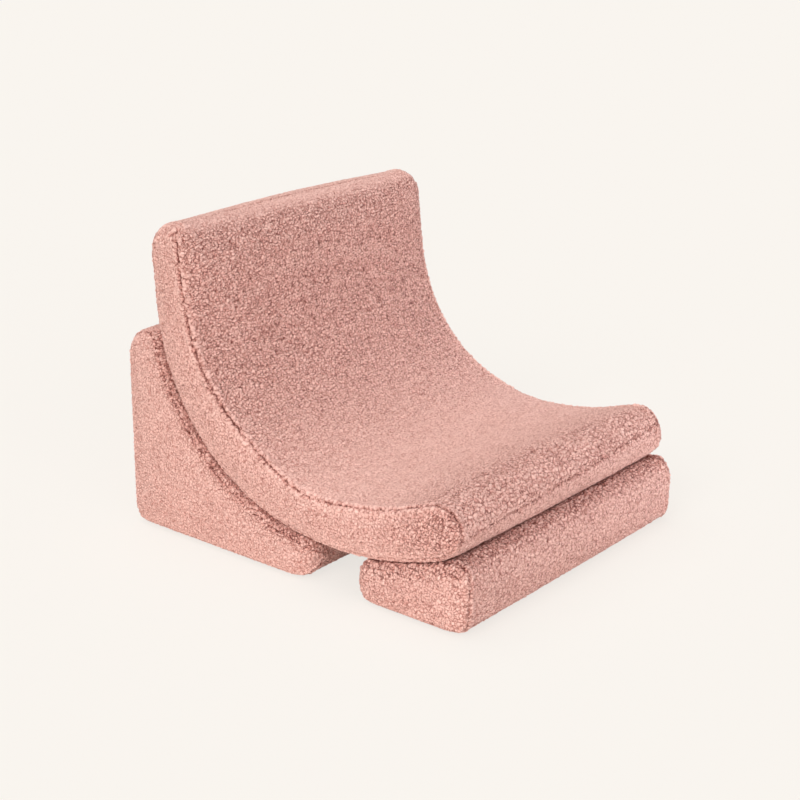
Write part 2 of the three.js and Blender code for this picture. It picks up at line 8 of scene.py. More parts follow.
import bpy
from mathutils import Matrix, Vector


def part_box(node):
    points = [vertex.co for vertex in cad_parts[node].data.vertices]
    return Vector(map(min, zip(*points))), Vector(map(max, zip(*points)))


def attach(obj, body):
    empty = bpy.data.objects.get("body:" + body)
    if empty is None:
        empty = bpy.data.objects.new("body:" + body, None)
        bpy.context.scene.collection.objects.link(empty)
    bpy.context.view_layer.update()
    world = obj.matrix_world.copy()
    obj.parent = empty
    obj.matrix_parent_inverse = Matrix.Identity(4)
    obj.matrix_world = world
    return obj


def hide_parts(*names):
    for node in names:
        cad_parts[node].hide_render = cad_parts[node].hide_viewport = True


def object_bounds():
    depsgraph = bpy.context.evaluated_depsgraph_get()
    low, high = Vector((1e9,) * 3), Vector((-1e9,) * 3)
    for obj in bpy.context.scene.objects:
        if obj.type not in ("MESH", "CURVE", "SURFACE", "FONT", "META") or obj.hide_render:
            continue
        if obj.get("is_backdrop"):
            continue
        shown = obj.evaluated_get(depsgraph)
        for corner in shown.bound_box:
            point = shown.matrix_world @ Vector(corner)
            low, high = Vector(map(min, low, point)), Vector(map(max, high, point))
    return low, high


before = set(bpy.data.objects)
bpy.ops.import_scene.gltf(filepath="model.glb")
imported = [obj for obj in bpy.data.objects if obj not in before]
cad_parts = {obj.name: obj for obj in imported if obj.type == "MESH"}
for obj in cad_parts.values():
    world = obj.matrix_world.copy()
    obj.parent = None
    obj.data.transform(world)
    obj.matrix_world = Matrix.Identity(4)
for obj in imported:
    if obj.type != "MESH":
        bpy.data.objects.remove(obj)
cad_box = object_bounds()

# %% [markdown]
# Everything below is worked out in metres, and MM turns a size that is easier to say in millimetres
# into metres. The plain view transform leaves colours as they are lit, so that a colour that is set
# here is also the one that is seen.

# %% Tools of the trade
import math

import bmesh
import bpy
import numpy as np
from mathutils import Matrix, Vector
from mathutils.bvhtree import BVHTree

MM = 0.001
scene = bpy.context.scene
scene.view_settings.view_transform = "Standard"

# %% [markdown]
# The picture was taken from the front left, a little above the seat, with a long lens. A camera
# could be aimed by eye, but three angles and a place say it exactly, and they can be read. The
# camera's own axes are built from the angles, turned by the slight roll, and put in its matrix.

# %% Camera at the photograph's angle
AZIMUTH = math.radians(-51.38)
ELEVATION = math.radians(19.2)
ROLL = math.radians(0.579)
CAMERA_PLACE = Vector((-1.7273, -1.3720, 0.9469))
LENS_MM = 75.68

backward = Vector((
    math.sin(AZIMUTH) * math.cos(ELEVATION),
    -math.cos(AZIMUTH) * math.cos(ELEVATION),
    math.sin(ELEVATION),
))
level_right = Vector((math.cos(AZIMUTH), math.sin(AZIMUTH), 0))
level_up = backward.cross(level_right)
right = level_right * math.cos(ROLL) + level_up * math.sin(ROLL)
up = level_up * math.cos(ROLL) - level_right * math.sin(ROLL)

bpy.ops.object.camera_add()
camera = bpy.context.object
camera.data.lens = LENS_MM
camera.matrix_world = Matrix.LocRotScale(
    CAMERA_PLACE, Matrix((right, up, backward)).transposed(), None
)
scene.camera = camera
print("camera", round(CAMERA_PLACE.length, 2), "m from the chair's foot")

# %% [markdown]
# The shell's side view is two bends that run into each other, with a straight back above and a
# straight nose in front. Every seam and every change in the pile follows that line, so it is worth
# having a pair of coordinates that bend with it: how far along the seat face a point lies, counted
# forward from the lowest point, and how deep it lies under that face.

# %% Coordinates that bend with the seat
HALF_WIDTH = 250 * MM
BACK_PLANE = 293 * MM
SEAT_BEND_RADIUS = 342 * MM
BACK_BEND_RADIUS = 216 * MM
SHELL_THICKNESS = 70 * MM
CRADLE_DEPTH = 73.2 * MM
MEETING_SLOPE = math.radians(-14.8)
NOSE_SLOPE = math.radians(17.4)
BACK_SLOPE = math.radians(-85.7)
SEAT_CENTRE = np.array((380 * MM, 472 * MM))


def outward(slope):
    """Away from the bend's centre, square to the seat face where it has that slope."""
    return np.array((math.sin(slope), -math.cos(slope)))


def along(slope):
    """Forward along the seat face, where it has that slope."""
    return np.array((math.cos(slope), math.sin(slope)))


BACK_CENTRE = SEAT_CENTRE + (SEAT_BEND_RADIUS - BACK_BEND_RADIUS) * outward(MEETING_SLOPE)
MEETING_RUN = SEAT_BEND_RADIUS * MEETING_SLOPE
NOSE_RUN = SEAT_BEND_RADIUS * NOSE_SLOPE
BACK_RUN = MEETING_RUN + BACK_BEND_RADIUS * (BACK_SLOPE - MEETING_SLOPE)


def side_view(points):
    """Forward from the wedge's back plane, and up from the floor."""
    return np.stack([BACK_PLANE - points[:, 1], points[:, 2]], 1)


def seat_run_and_depth(points):
    """How far along the seat face each point lies, and how deep under it."""
    view = side_view(points)
    from_seat = view - SEAT_CENTRE
    from_back = view - BACK_CENTRE
    slope = np.arctan2(from_seat[:, 0], -from_seat[:, 1])
    back_slope = np.arctan2(from_back[:, 0], -from_back[:, 1])
    run = SEAT_BEND_RADIUS * slope
    depth = np.linalg.norm(from_seat, axis=1) - SEAT_BEND_RADIUS
    nose = slope > NOSE_SLOPE
    run[nose] = NOSE_RUN + from_seat[nose] @ along(NOSE_SLOPE)
    depth[nose] = from_seat[nose] @ outward(NOSE_SLOPE) - SEAT_BEND_RADIUS
    bend = slope < MEETING_SLOPE
    run[bend] = MEETING_RUN + BACK_BEND_RADIUS * (back_slope[bend] - MEETING_SLOPE)
    depth[bend] = np.linalg.norm(from_back[bend], axis=1) - BACK_BEND_RADIUS
    straight = bend & ((back_slope < BACK_SLOPE) | (view[:, 1] > BACK_CENTRE[1] + MM))
    run[straight] = BACK_RUN + from_back[straight] @ along(BACK_SLOPE)
    depth[straight] = from_back[straight] @ outward(BACK_SLOPE) - BACK_BEND_RADIUS
    return run, depth


shell_points = np.array([v.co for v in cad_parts["seat_shell_cover"].data.vertices])
shell_run, shell_depth = seat_run_and_depth(shell_points)
TOP_RUN = shell_run.min()
TIP_RUN = shell_run.max()
print("the seat face runs from", round(TOP_RUN, 3), "to", round(TIP_RUN, 3), "m")
print("its depth is", round(shell_depth.min() / MM, 1), "to", round(shell_depth.max() / MM, 1), "mm")

# %% [markdown]
# The floor and the backdrop are one wide, pale sheet. Seen by the camera it should be nearly the
# plain cream of the picture, with only a breath of shadow under the chair. More lamps would get it
# that pale but would bleach the fleece as well, so part of the floor's colour is given off by the
# floor itself, only towards the camera and in reflections, and the rest is lit and takes the shadow.

# %% Floor and surroundings
PALE = (0.956, 0.922, 0.875, 1)
FLOOR_GLOW = 0.8
FLOOR_SIZE = 60
FLOOR_DROP = 0.3 * MM
ROOM_TINT = (1, 0.985, 0.97, 1)
ROOM_STRENGTH = 0.34


def new_material(name):
    material = bpy.data.materials.new(name)
    material.use_nodes = True
    nodes = material.node_tree.nodes
    links = material.node_tree.links
    return material, nodes, links, nodes["Principled BSDF"]


def math_node(nodes, links, operation, first, second, clamp=False):
    """A Math node of two inputs, each a socket or a number, and its result."""
    node = nodes.new("ShaderNodeMath")
    node.operation = operation
    node.use_clamp = clamp
    for socket, value in zip(node.inputs, (first, second)):
        if isinstance(value, (int, float)):
            socket.default_value = value
        else:
            links.new(value, socket)
    return node.outputs[0]


def seen_directly(nodes, links):
    """1 where the camera, a reflection or a clear material looks, and 0 for light that bounces."""
    rays = nodes.new("ShaderNodeLightPath").outputs
    camera_or_gloss = math_node(nodes, links, "MAXIMUM", rays["Is Camera Ray"], rays["Is Glossy Ray"])
    return math_node(nodes, links, "MAXIMUM", camera_or_gloss, rays["Is Transmission Ray"])


def blend_to_output(nodes, links, share, usual, other, output):
    """One shader where share is 0, another where it is 1, and the blend as the result."""
    blend = nodes.new("ShaderNodeMixShader")
    links.new(share, blend.inputs["Fac"])
    links.new(usual.outputs[0], blend.inputs[1])
    links.new(other.outputs[0], blend.inputs[2])
    links.new(blend.outputs[0], nodes[output].inputs["Surface"])


bpy.ops.object.select_all(action="DESELECT")
bpy.ops.mesh.primitive_plane_add(size=FLOOR_SIZE, location=(0, 0, -FLOOR_DROP))
floor = bpy.context.object
floor.name = "studio_floor"
bpy.ops.object.transform_apply(location=True)
floor_finish, nodes, links, shader = new_material("cream paper sweep")
shader.inputs["Base Color"].default_value = PALE
shader.inputs["Roughness"].default_value = 1
shader.inputs["Specular IOR Level"].default_value = 0
glow = nodes.new("ShaderNodeEmission")
glow.inputs["Color"].default_value = PALE
glow_share = math_node(nodes, links, "MULTIPLY", seen_directly(nodes, links), FLOOR_GLOW)
blend_to_output(nodes, links, glow_share, shader, glow, "Material Output")
floor.data.materials.append(floor_finish)
floor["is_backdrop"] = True

world = bpy.data.worlds.new("cream studio")
scene.world = world
world.use_nodes = True
nodes = world.node_tree.nodes
links = world.node_tree.links
room_light = nodes["Background"]
room_light.inputs["Color"].default_value = ROOM_TINT
room_light.inputs["Strength"].default_value = ROOM_STRENGTH
backdrop = nodes.new("ShaderNodeBackground")
backdrop.inputs["Color"].default_value = PALE
blend_to_output(nodes, links, seen_directly(nodes, links), room_light, backdrop, "World Output")
print("floor", FLOOR_SIZE, "m across")

# %% [markdown]
# The light in the picture is soft and comes mostly from the upper left, warm, with a cooler and
# weaker fill from the front right. Sun lamps with a very wide disc are soft, and light the whole
# floor evenly. Two lamps stood close by, because their light fades along the chair's front and up
# its side, so they are area lamps, and light linking keeps them off the floor, where they would
# leave bright patches.

# %% Lamps
BOX_WIDTH = 0.6
BOX_HEIGHT = 0.5


def soft_sun(name, towards, strength, width, colour):
    """A wide sun lamp that shines along the direction towards."""
    bpy.ops.object.light_add(type="SUN")
    lamp = bpy.context.object
    lamp.name = name
    lamp.data.energy = strength
    lamp.data.angle = math.radians(width)
    lamp.data.color = colour
    lamp.rotation_euler = Vector(towards).to_track_quat("-Z", "Y").to_euler()


soft_sun("key from the left", (0.80, 0.15, -0.62), 1.3, 35, (1, 0.965, 0.93))
soft_sun("light from above", (0.05, -0.35, -1), 1.0, 50, (1, 0.98, 0.96))
soft_sun("fill from the front", (0.35, 0.9, -0.45), 0.55, 40, (0.98, 0.98, 1))

CHAIR_ONLY = bpy.data.collections.new("lit by the soft boxes")


def soft_box(name, place, aim, watts, colour):
    """A rectangular lamp near the chair, which lights the chair alone."""
    bpy.ops.object.light_add(type="AREA", location=place)
    lamp = bpy.context.object
    lamp.name = name
    lamp.data.shape = "RECTANGLE"
    lamp.data.size = BOX_WIDTH
    lamp.data.size_y = BOX_HEIGHT
    lamp.data.energy = watts
    lamp.data.color = colour
    lamp.rotation_euler = (Vector(aim) - Vector(place)).to_track_quat("-Z", "Y").to_euler()
    lamp.light_linking.receiver_collection = CHAIR_ONLY


soft_box("soft box on the right", (1.0, -0.95, 0.25), (0, -0.2, 0.1), 8.0, (0.86, 0.92, 1))
soft_box("soft box on the left", (-1.0, -0.4, 0.15), (-0.2, 0, 0.1), 2.2, (1, 0.98, 0.96))
print("five lamps")

# %% [markdown]
# Each cover is one closed skin over its foam, and its shape comes from the pattern, the seams and
# the stuffing. The frame's cover has an inside and an opening for its zip as well. Only the outside
# shows, so a copy keeps the faces that lie well clear of the foam, and is closed again over the
# opening. Then it is remeshed into even little squares, which cloth needs.

# %% The outside of a cover
VOXEL = 5.1 * MM
SAME_PLACE = 0.01 * MM


def surface_tree(source):
    """A mesh made ready for finding the nearest place on it."""
    mesh = source.data
    return BVHTree.FromPolygons([v.co for v in mesh.vertices], [list(p.vertices) for p in mesh.polygons])


def only_select(piece):
    bpy.ops.object.select_all(action="DESELECT")
    piece.select_set(True)
    bpy.context.view_layer.objects.active = piece


def apply_modifiers(piece):
    only_select(piece)
    for name in [modifier.name for modifier in piece.modifiers]:
        bpy.ops.object.modifier_apply(modifier=name)


def outer_skin(name, cover, foam, clear_of_foam):
    """A new object holding the outside of a cover alone, closed and evenly meshed."""
    core = surface_tree(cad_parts[foam])
    cloth = bmesh.new()
    cloth.from_mesh(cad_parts[cover].data)
    bmesh.ops.remove_doubles(cloth, verts=cloth.verts, dist=SAME_PLACE)
    inside = [f for f in cloth.faces if core.find_nearest(f.calc_center_median())[3] < clear_of_foam]
    bmesh.ops.delete(cloth, geom=inside, context="FACES")
    bmesh.ops.holes_fill(cloth, edges=cloth.edges, sides=0)
    bmesh.ops.triangulate(cloth, faces=cloth.faces)
    open_edges = [e for e in cloth.edges if not e.is_manifold]
    bmesh.ops.recalc_face_normals(cloth, faces=cloth.faces)
    print(name, "kept", len(cloth.faces), "faces,", len(open_edges), "open edges")
    mesh = bpy.data.meshes.new(name)
    cloth.to_mesh(mesh)
    cloth.free()
    piece = bpy.data.objects.new(name, mesh)
    scene.collection.objects.link(piece)
    only_select(piece)
    remesh = piece.modifiers.new("even squares", "REMESH")
    remesh.mode = "VOXEL"
    remesh.voxel_size = VOXEL
    apply_modifiers(piece)
    print(name, "has", len(piece.data.vertices), "points")
    return piece


FROM_FOAM = {"seat_shell": 6 * MM, "rear_wedge": 4.6 * MM, "front_block": 4.6 * MM}
covers = {
    body: outer_skin(body + "_fleece", body + "_cover", body + "_foam", clear)
    for body, clear in FROM_FOAM.items()
}

# %% [markdown]
# A seam pulls the cloth in and holds it, so the swelling has to know where the seams run. On a
# boxed cushion they follow the edge between a face and the narrow side panel. Two distances say
# where a point lies: how far in it is from the cushion's outline, seen from the side, and how far
# in from its left or right end. Their difference crosses zero right on the edge, is negative on
# the faces and positive on the side panels, so a seam is simply where it has a chosen value.

# %% How far in from the outline and from the ends
WEDGE_HEIGHT = 286 * MM
WEDGE_BACK_ROUNDING = 39 * MM
WEDGE_LIP_ROUNDING = 15 * MM
WEDGE_FOOT_ROUNDING = 30 * MM
BLOCK_REAR = 411 * MM
BLOCK_FRONT = 586 * MM
BLOCK_TOP_ROUNDING = 27 * MM
BLOCK_FOOT_ROUNDING = 26 * MM
SHELL_ROUNDING = 32 * MM


def rounded_inside(a, b, radius):
    """The distance in from a corner of that radius, out of the distances in from its two sides."""
    corner = radius - np.hypot(np.maximum(radius - a, 0), np.maximum(radius - b, 0))
    return np.where((a < radius) & (b < radius), corner, np.minimum(a, b))


def below_cradle(points):
    """How deep points lie under the curve on which wedge and block carry the shell."""
    return seat_run_and_depth(points)[1] - CRADLE_DEPTH


def shell_inside(points):
    run, depth = seat_run_and_depth(points)
    faces = np.minimum(depth, SHELL_THICKNESS - depth)
    ends = np.minimum(run - TOP_RUN, TIP_RUN - run)
    return rounded_inside(faces, ends, SHELL_ROUNDING)


def wedge_inside(points):
    view = side_view(points)
    inside = rounded_inside(view[:, 0], WEDGE_HEIGHT - view[:, 1], WEDGE_BACK_ROUNDING)
    inside = rounded_inside(inside, below_cradle(points), WEDGE_LIP_ROUNDING)
    return rounded_inside(inside, view[:, 1], WEDGE_FOOT_ROUNDING)


def block_inside(points):
    view = side_view(points)
    ends = np.minimum(view[:, 0] - BLOCK_REAR, BLOCK_FRONT - view[:, 0])
    inside = rounded_inside(ends, below_cradle(points), BLOCK_TOP_ROUNDING)
    return rounded_inside(inside, view[:, 1], BLOCK_FOOT_ROUNDING)


INSIDE = {"seat_shell": shell_inside, "rear_wedge": wedge_inside, "front_block": block_inside}


def vectors_of(items, name):
    """One vector of each item, such as its place, as rows of numbers."""
    flat = np.empty(len(items) * 3, dtype=np.float32)
    items.foreach_get(name, flat)
    return flat.reshape(-1, 3).astype(float)


def points_of(piece):
    return vectors_of(piece.data.vertices, "co")


def normals_of(piece):
    return vectors_of(piece.data.vertex_normals, "vector")


def move_points(piece, points):
    piece.data.vertices.foreach_set("co", points.astype(np.float32).ravel())
    piece.data.update()


for body, piece in covers.items():
    depth_inside = INSIDE[body](points_of(piece))
    print(body, "lies", np.round(np.percentile(depth_inside, [0, 50, 100]) / MM, 1), "mm inside")

# %% [markdown]
# The seam doesn't run dead straight. On the picture's chair it wanders between the side panel and the
# seat face as the cutter's line did, by up to a finger's width, and at the nose and the top it turns in
# round the end. A few listed places along the face say how far it strays, and what lies between them is
# drawn smooth.

# %% Where the side seams run
SEAM_PLACES = (-0.46, -0.40, -0.34, -0.27, -0.19, -0.155, -0.11, -0.06, -0.02, 0.03, 0.10, 0.14, 0.17)
SEAM_STRAY_MM = (12, 12, 6, 1, -5, -7, -2, 7, 5, -2, -4, -8, -11)
END_SEAM_STRAY = -11 * MM
REAR_SEAM_STRAY = 3 * MM
HOLLOW_SEAM_STRAY = 4 * MM
WEDGE_SEAM_STRAY = -6 * MM
SMOOTHING = 12 * MM


def front_seam_stray(run):
    """How far the seam lies down the side panel, or in on the seat face where it is negative."""
    places = np.linspace(TOP_RUN, TIP_RUN, 400)
    step = places[1] - places[0]
    rough = np.interp(places, SEAM_PLACES, np.array(SEAM_STRAY_MM) * MM)
    reach = int(3 * SMOOTHING / step)
    kernel = np.exp(-0.5 * (np.arange(-reach, reach + 1) * step / SMOOTHING) ** 2)
    padded = np.pad(rough, reach, mode="edge")
    smooth = np.convolve(padded, kernel / kernel.sum(), mode="valid")
    return np.interp(run, places, smooth)


def ease(value, low, high):
    """0 below low, 1 above high and smooth between them."""
    share = np.clip((value - low) / (high - low), 0, 1)
    return share * share * (3 - 2 * share)


def fade(value, low, high):
    """1 below low, 0 above high and smooth between them."""
    return ease(-value, -high, -low)


def mix(first, second, share):
    """The first where share is 0, the second where it is 1, and a blend between."""
    return first * (1 - share) + second * share


def near_tip(run, begins, ends):
    """0 further than begins from the nose's tip and 1 closer to it than ends."""
    return ease(run, TIP_RUN - begins, TIP_RUN - ends)


def near_top(run, begins, ends):
    """0 further than begins from the shell's top and 1 closer to it than ends."""
    return fade(run, TOP_RUN + ends, TOP_RUN + begins)


def shell_seam_stray(points):
    run, depth = seat_run_and_depth(points)
    front = front_seam_stray(run)
    across = ease(depth, 0.35 * SHELL_THICKNESS, 0.75 * SHELL_THICKNESS)
    near_end = np.maximum(near_tip(run, 24 * MM, 8 * MM), near_top(run, 22 * MM, 8 * MM))
    return mix(mix(front, REAR_SEAM_STRAY, across), END_SEAM_STRAY, near_end)


def wedge_seam_stray(points):
    return mix(WEDGE_SEAM_STRAY, HOLLOW_SEAM_STRAY, fade(below_cradle(points), 12 * MM, 25 * MM))


def block_seam_stray(points):
    return np.full(len(points), END_SEAM_STRAY)


SEAM_STRAY = {
    "seat_shell": shell_seam_stray,
    "rear_wedge": wedge_seam_stray,
    "front_block": block_seam_stray,
}


def across_seam(body, points):
    """How far a point lies from the side seam: to the side panel if positive, to a face if not."""
    from_end = HALF_WIDTH - np.abs(points[:, 0])
    return INSIDE[body](points) - from_end - SEAM_STRAY[body](points)


for body, piece in covers.items():
    close = np.abs(across_seam(body, points_of(piece))) < 4 * MM
    print(body, "has", close.sum(), "points by its side seams")

# %% [markdown]
# Foam and fleece fill a cover like air: between its seams the cloth stands out, and at the seams
# and where the cushion rests it is held. Blender's cloth does that. Each skin starts a little
# smaller, its seams and its resting faces are pinned, and pressure from inside with no gravity
# swells it for twenty frames. How far a point may move is capped, so that a crown never grows past
# the real one.

# %% Swelling
SHRINK = 2.5 * MM
PRESSURE = 4
FRAMES = 20
MOST_OUT = 3.5 * MM
MOST_IN = 3.5 * MM
REST_CLEARANCE = 9 * MM
HELD_BELOW = 0.35
HELD_WITHIN = 3 * MM
FREE_BEYOND = 14 * MM
OFF_SIDE = (14 * MM, 24 * MM)
SHELL_RESTS_BELOW = (270 * MM, 300 * MM)
WEDGE_CARRIES_TO = (290 * MM, 310 * MM)
NOSE_FREE = 26 * MM
BLOCK_FREE = 28 * MM
REST_ENDS_OVER = 14 * MM


def rests(body, points):
    """1 on the faces that lie on the floor or on another cushion, and 0 elsewhere."""
    run, depth = seat_run_and_depth(points)
    from_floor = fade(points[:, 2], 3 * MM, REST_CLEARANCE)
    off_side_panel = ease(HALF_WIDTH - np.abs(points[:, 0]), *OFF_SIDE)
    if body == "seat_shell":
        underneath = ease(depth, SHELL_THICKNESS - 6 * MM, SHELL_THICKNESS - 2 * MM)
        low_enough = fade(points[:, 2], *SHELL_RESTS_BELOW)
        behind_nose = fade(run, TIP_RUN - NOSE_FREE - REST_ENDS_OVER, TIP_RUN - NOSE_FREE)
        return underneath * low_enough * behind_nose * off_side_panel
    facing = fade(depth, CRADLE_DEPTH + 3 * MM, CRADLE_DEPTH + REST_CLEARANCE) * off_side_panel
    if body == "rear_wedge":
        facing *= fade(side_view(points)[:, 0], *WEDGE_CARRIES_TO)
    else:
        facing *= fade(run, TIP_RUN - BLOCK_FREE - REST_ENDS_OVER, TIP_RUN - BLOCK_FREE)
    return np.maximum(from_floor, facing)


def freedom(body, points):
    """How free the cloth is: none at a seam or where it rests, and all of it further away."""
    from_seam = ease(np.abs(across_seam(body, points)), HELD_WITHIN, FREE_BEYOND)
    return from_seam * (1 - rests(body, points))


def swell(body, piece):
    """Blows a skin up between the places that hold it, and caps how far it moves."""
    wanted = points_of(piece)
    free = freedom(body, wanted)
    move_points(piece, wanted - normals_of(piece) * (SHRINK * free)[:, None])
    held = piece.vertex_groups.new(name="held")
    for index in np.flatnonzero(free < HELD_BELOW):
        held.add([int(index)], 1, "REPLACE")
    cloth = piece.modifiers.new("fleece under pressure", "CLOTH")
    settings = cloth.settings
    settings.quality = 3
    settings.mass = 0.3
    settings.tension_stiffness = 12
    settings.compression_stiffness = 12
    settings.shear_stiffness = 6
    settings.bending_stiffness = 1.5
    settings.use_pressure = True
    settings.uniform_pressure_force = PRESSURE
    settings.effector_weights.gravity = 0
    settings.vertex_group_mass = "held"
    for frame_number in range(1, FRAMES + 1):
        scene.frame_set(frame_number)
    apply_modifiers(piece)
    scene.frame_set(1)
    piece.vertex_groups.clear()
    swollen = points_of(piece)
    outwards = normals_of(piece)
    moved = np.einsum("ij,ij->i", swollen - wanted, outwards)
    capped = np.clip(moved, -MOST_IN, MOST_OUT)
    move_points(piece, swollen + outwards * (capped - moved)[:, None])
    print(body, "moved", np.round(np.percentile(moved, [1, 25, 50, 75, 99]) / MM, 1), "mm")


for body, piece in covers.items():
    swell(body, piece)

# %% [markdown]
# The pile itself needs a much finer mesh than the cloth did. One smooth subdivision halves the squares
# everywhere, and a second halves them again only where the cover shows: the faces that cushions rest on
# stay coarse. The skins are unwrapped first, while they are still light, and the finer meshes inherit
# those islands.

# %% Finer squares where the cover shows
UNWRAP_ANGLE = math.radians(66)
ISLAND_MARGIN = 0.002


def edit(piece, kind, action):
    """Edit mode, in which faces or edges are picked, with all of them selected or none."""
    only_select(piece)
    bpy.ops.object.mode_set(mode="EDIT")
    bpy.ops.mesh.select_mode(type=kind)
    bpy.ops.mesh.select_all(action=action)


def done():
    bpy.ops.object.mode_set(mode="OBJECT")


def refine(body, piece):
    """Unwraps a skin, and gives it smaller squares."""
    edit(piece, "FACE", "SELECT")
    bpy.ops.uv.smart_project(angle_limit=UNWRAP_ANGLE, island_margin=ISLAND_MARGIN)
    done()
    piece.data.uv_layers[0].name = "OFBake"
    smooth = piece.modifiers.new("smoother", "SUBSURF")
    smooth.levels = 1
    smooth.render_levels = 1
    apply_modifiers(piece)
    mesh = piece.data
    shows = rests(body, vectors_of(mesh.polygons, "center")) < 0.5
    edit(piece, "FACE", "DESELECT")
    done()
    mesh.polygons.foreach_set("select", shows)
    bpy.ops.object.mode_set(mode="EDIT")
    bpy.ops.mesh.subdivide(number_cuts=1)
    done()
    bpy.ops.object.shade_smooth()
    print(body, "has", len(mesh.polygons), "faces,", round(100 * shows.mean()), "% of it fine")


for body, piece in covers.items():
    refine(body, piece)

# %% [markdown]
# Teddy fleece is a knit whose long pile has curled up into small nubs with dark creases between
# them. A displacement texture could make it, but the mesh has to hold it, so the nubs are worked
# out in numbers. Spots are scattered through space, one to a small box, and a point stands higher
# the nearer it is to one spot than to the next, which gives domes that meet in creases. Bending the
# space with smooth noise before it is read curls them, and they are wider than they are high.

# %% Noise, and the nubs made of it
NUB_STRETCH = (1.35, 1, 1)


def shuffled(chance):
    return np.tile(chance.permutation(256), 2)


def pick_at(order, cell):
    """The same shuffled number for a cell of space each time."""
    x, y, z = (cell & 255).T
    return order[order[order[x] + y] + z]


def soft_noise(points, seed):
    """Smooth noise with features about one unit wide, the same on every run."""
    chance = np.random.default_rng(seed)
    order = shuffled(chance)
    directions = chance.normal(size=(256, 3))
    directions /= np.linalg.norm(directions, axis=1)[:, None]
    cell = np.floor(points).astype(int)
    within = points - cell
    eased = within ** 3 * (within * (within * 6 - 15) + 10)
    total = np.zeros(len(points))
    for corner in np.ndindex(2, 2, 2):
        direction = directions[pick_at(order, cell + corner)]
        weight = np.prod(np.where(corner, eased, 1 - eased), axis=1)
        total += weight * np.einsum("ij,ij->i", direction, within - corner)
    return total


def nubs(points, size, seed):
    """1 on top of a nub and 0 in the creases between it and its neighbours."""
    bend = np.stack([soft_noise(points / (1.3 * size), seed + i) for i in range(3)], 1)
    place = points / (size * np.array(NUB_STRETCH)) + 0.6 * bend
    chance = np.random.default_rng(seed)
    order = shuffled(chance)
    spots = 0.1 + 0.8 * chance.random((256, 3))
    base = np.floor(place - 0.5).astype(int)
    nearest = np.full(len(points), 3.0)
    second = np.full(len(points), 3.0)
    for corner in np.ndindex(2, 2, 2):
        cell = base + corner
        away = np.linalg.norm(cell + spots[pick_at(order, cell)] - place, axis=1)
        second = np.minimum(second, np.maximum(nearest, away))
        nearest = np.minimum(nearest, away)
    return np.clip((second - nearest) / 0.5, 0, 1) ** 0.6


sample = nubs(np.random.default_rng(1).random((2000, 3)), 5 * MM, 5)
print("nubs reach from", round(sample.min(), 2), "to", round(sample.max(), 2))
print("and average", round(sample.mean(), 2))

# %% [markdown]
# Where two panels are sewn together the thread draws a groove, the pile stands up on both sides of it,
# and the slightly longer panel is gathered into small folds across the seam. The side seams get all
# three. The seam under the nose has a deep, broken groove with the band above it bulging over, and the
# one along the top is only a fine line. Each seam also gives a painted shade, which darkens the colour
# of its groove and creases.

# %% Seams, ridges and gathers
NOSE_SEAM_DEPTH = 37.5 * MM
NOSE_SEAM_SLANT = -0.045
NOSE_SEAM_WANDER = 3.5 * MM
NOSE_WANDERS_OVER = 13 * MM
NOSE_BREAKS_OVER = 6 * MM
NOSE_GROOVE_WIDTH = 2.2 * MM
BAND_STEP = 4 * MM
BAND_WIDTH = 14 * MM
TOP_SEAM_DEPTH = 25 * MM
TOP_GROOVE_WIDTH = 1.5 * MM
TOP_RIDGE_OUT = 3 * MM
TOP_RIDGE_WIDTH = 1.8 * MM
GATHER_PERIOD = 8.5 * MM
FOLD_LENGTH = 30 * MM
SEAM_LUMP = 5.5 * MM
SLIGHTLY_GATHERED = 0.45
RIDGE_OUT = 4.5 * MM
RIDGE_WIDTH = 3.6 * MM
CREASE_REACH = 7 * MM
GROOVE_WIDTH = 1.3 * MM
GROOVE_WIDENS = 1.1 * MM
KINK = 4 * MM
KINKS_OVER = 7 * MM
UNEVEN_OVER = 24 * MM


def bump(distance, width):
    return np.exp(-(distance / width) ** 2)


def gathers(along_seam, across, seed):
    """From 0 in the creases to 1 on the folds, at uneven steps along a seam."""
    places = np.stack([along_seam / (3 * GATHER_PERIOD), across / FOLD_LENGTH, np.zeros(len(across))], 1)
    uneven = 0.9 * soft_noise(places, seed)
    slant = 0.8 * across / GATHER_PERIOD
    return np.abs(np.sin(math.pi * (along_seam / GATHER_PERIOD + uneven + slant))) ** 0.7


def along_outline(body, points):
    """A length that grows steadily along a cushion's edge."""
    if body == "seat_shell":
        run, depth = seat_run_and_depth(points)
        middle = (TOP_RUN + TIP_RUN) / 2
        half = (TIP_RUN - TOP_RUN) / 2
        at_end = ease(np.abs(run - middle), half - 25 * MM, half - 8 * MM)
        return run + depth * at_end
    view = side_view(points)
    return view[:, 0] - view[:, 1]


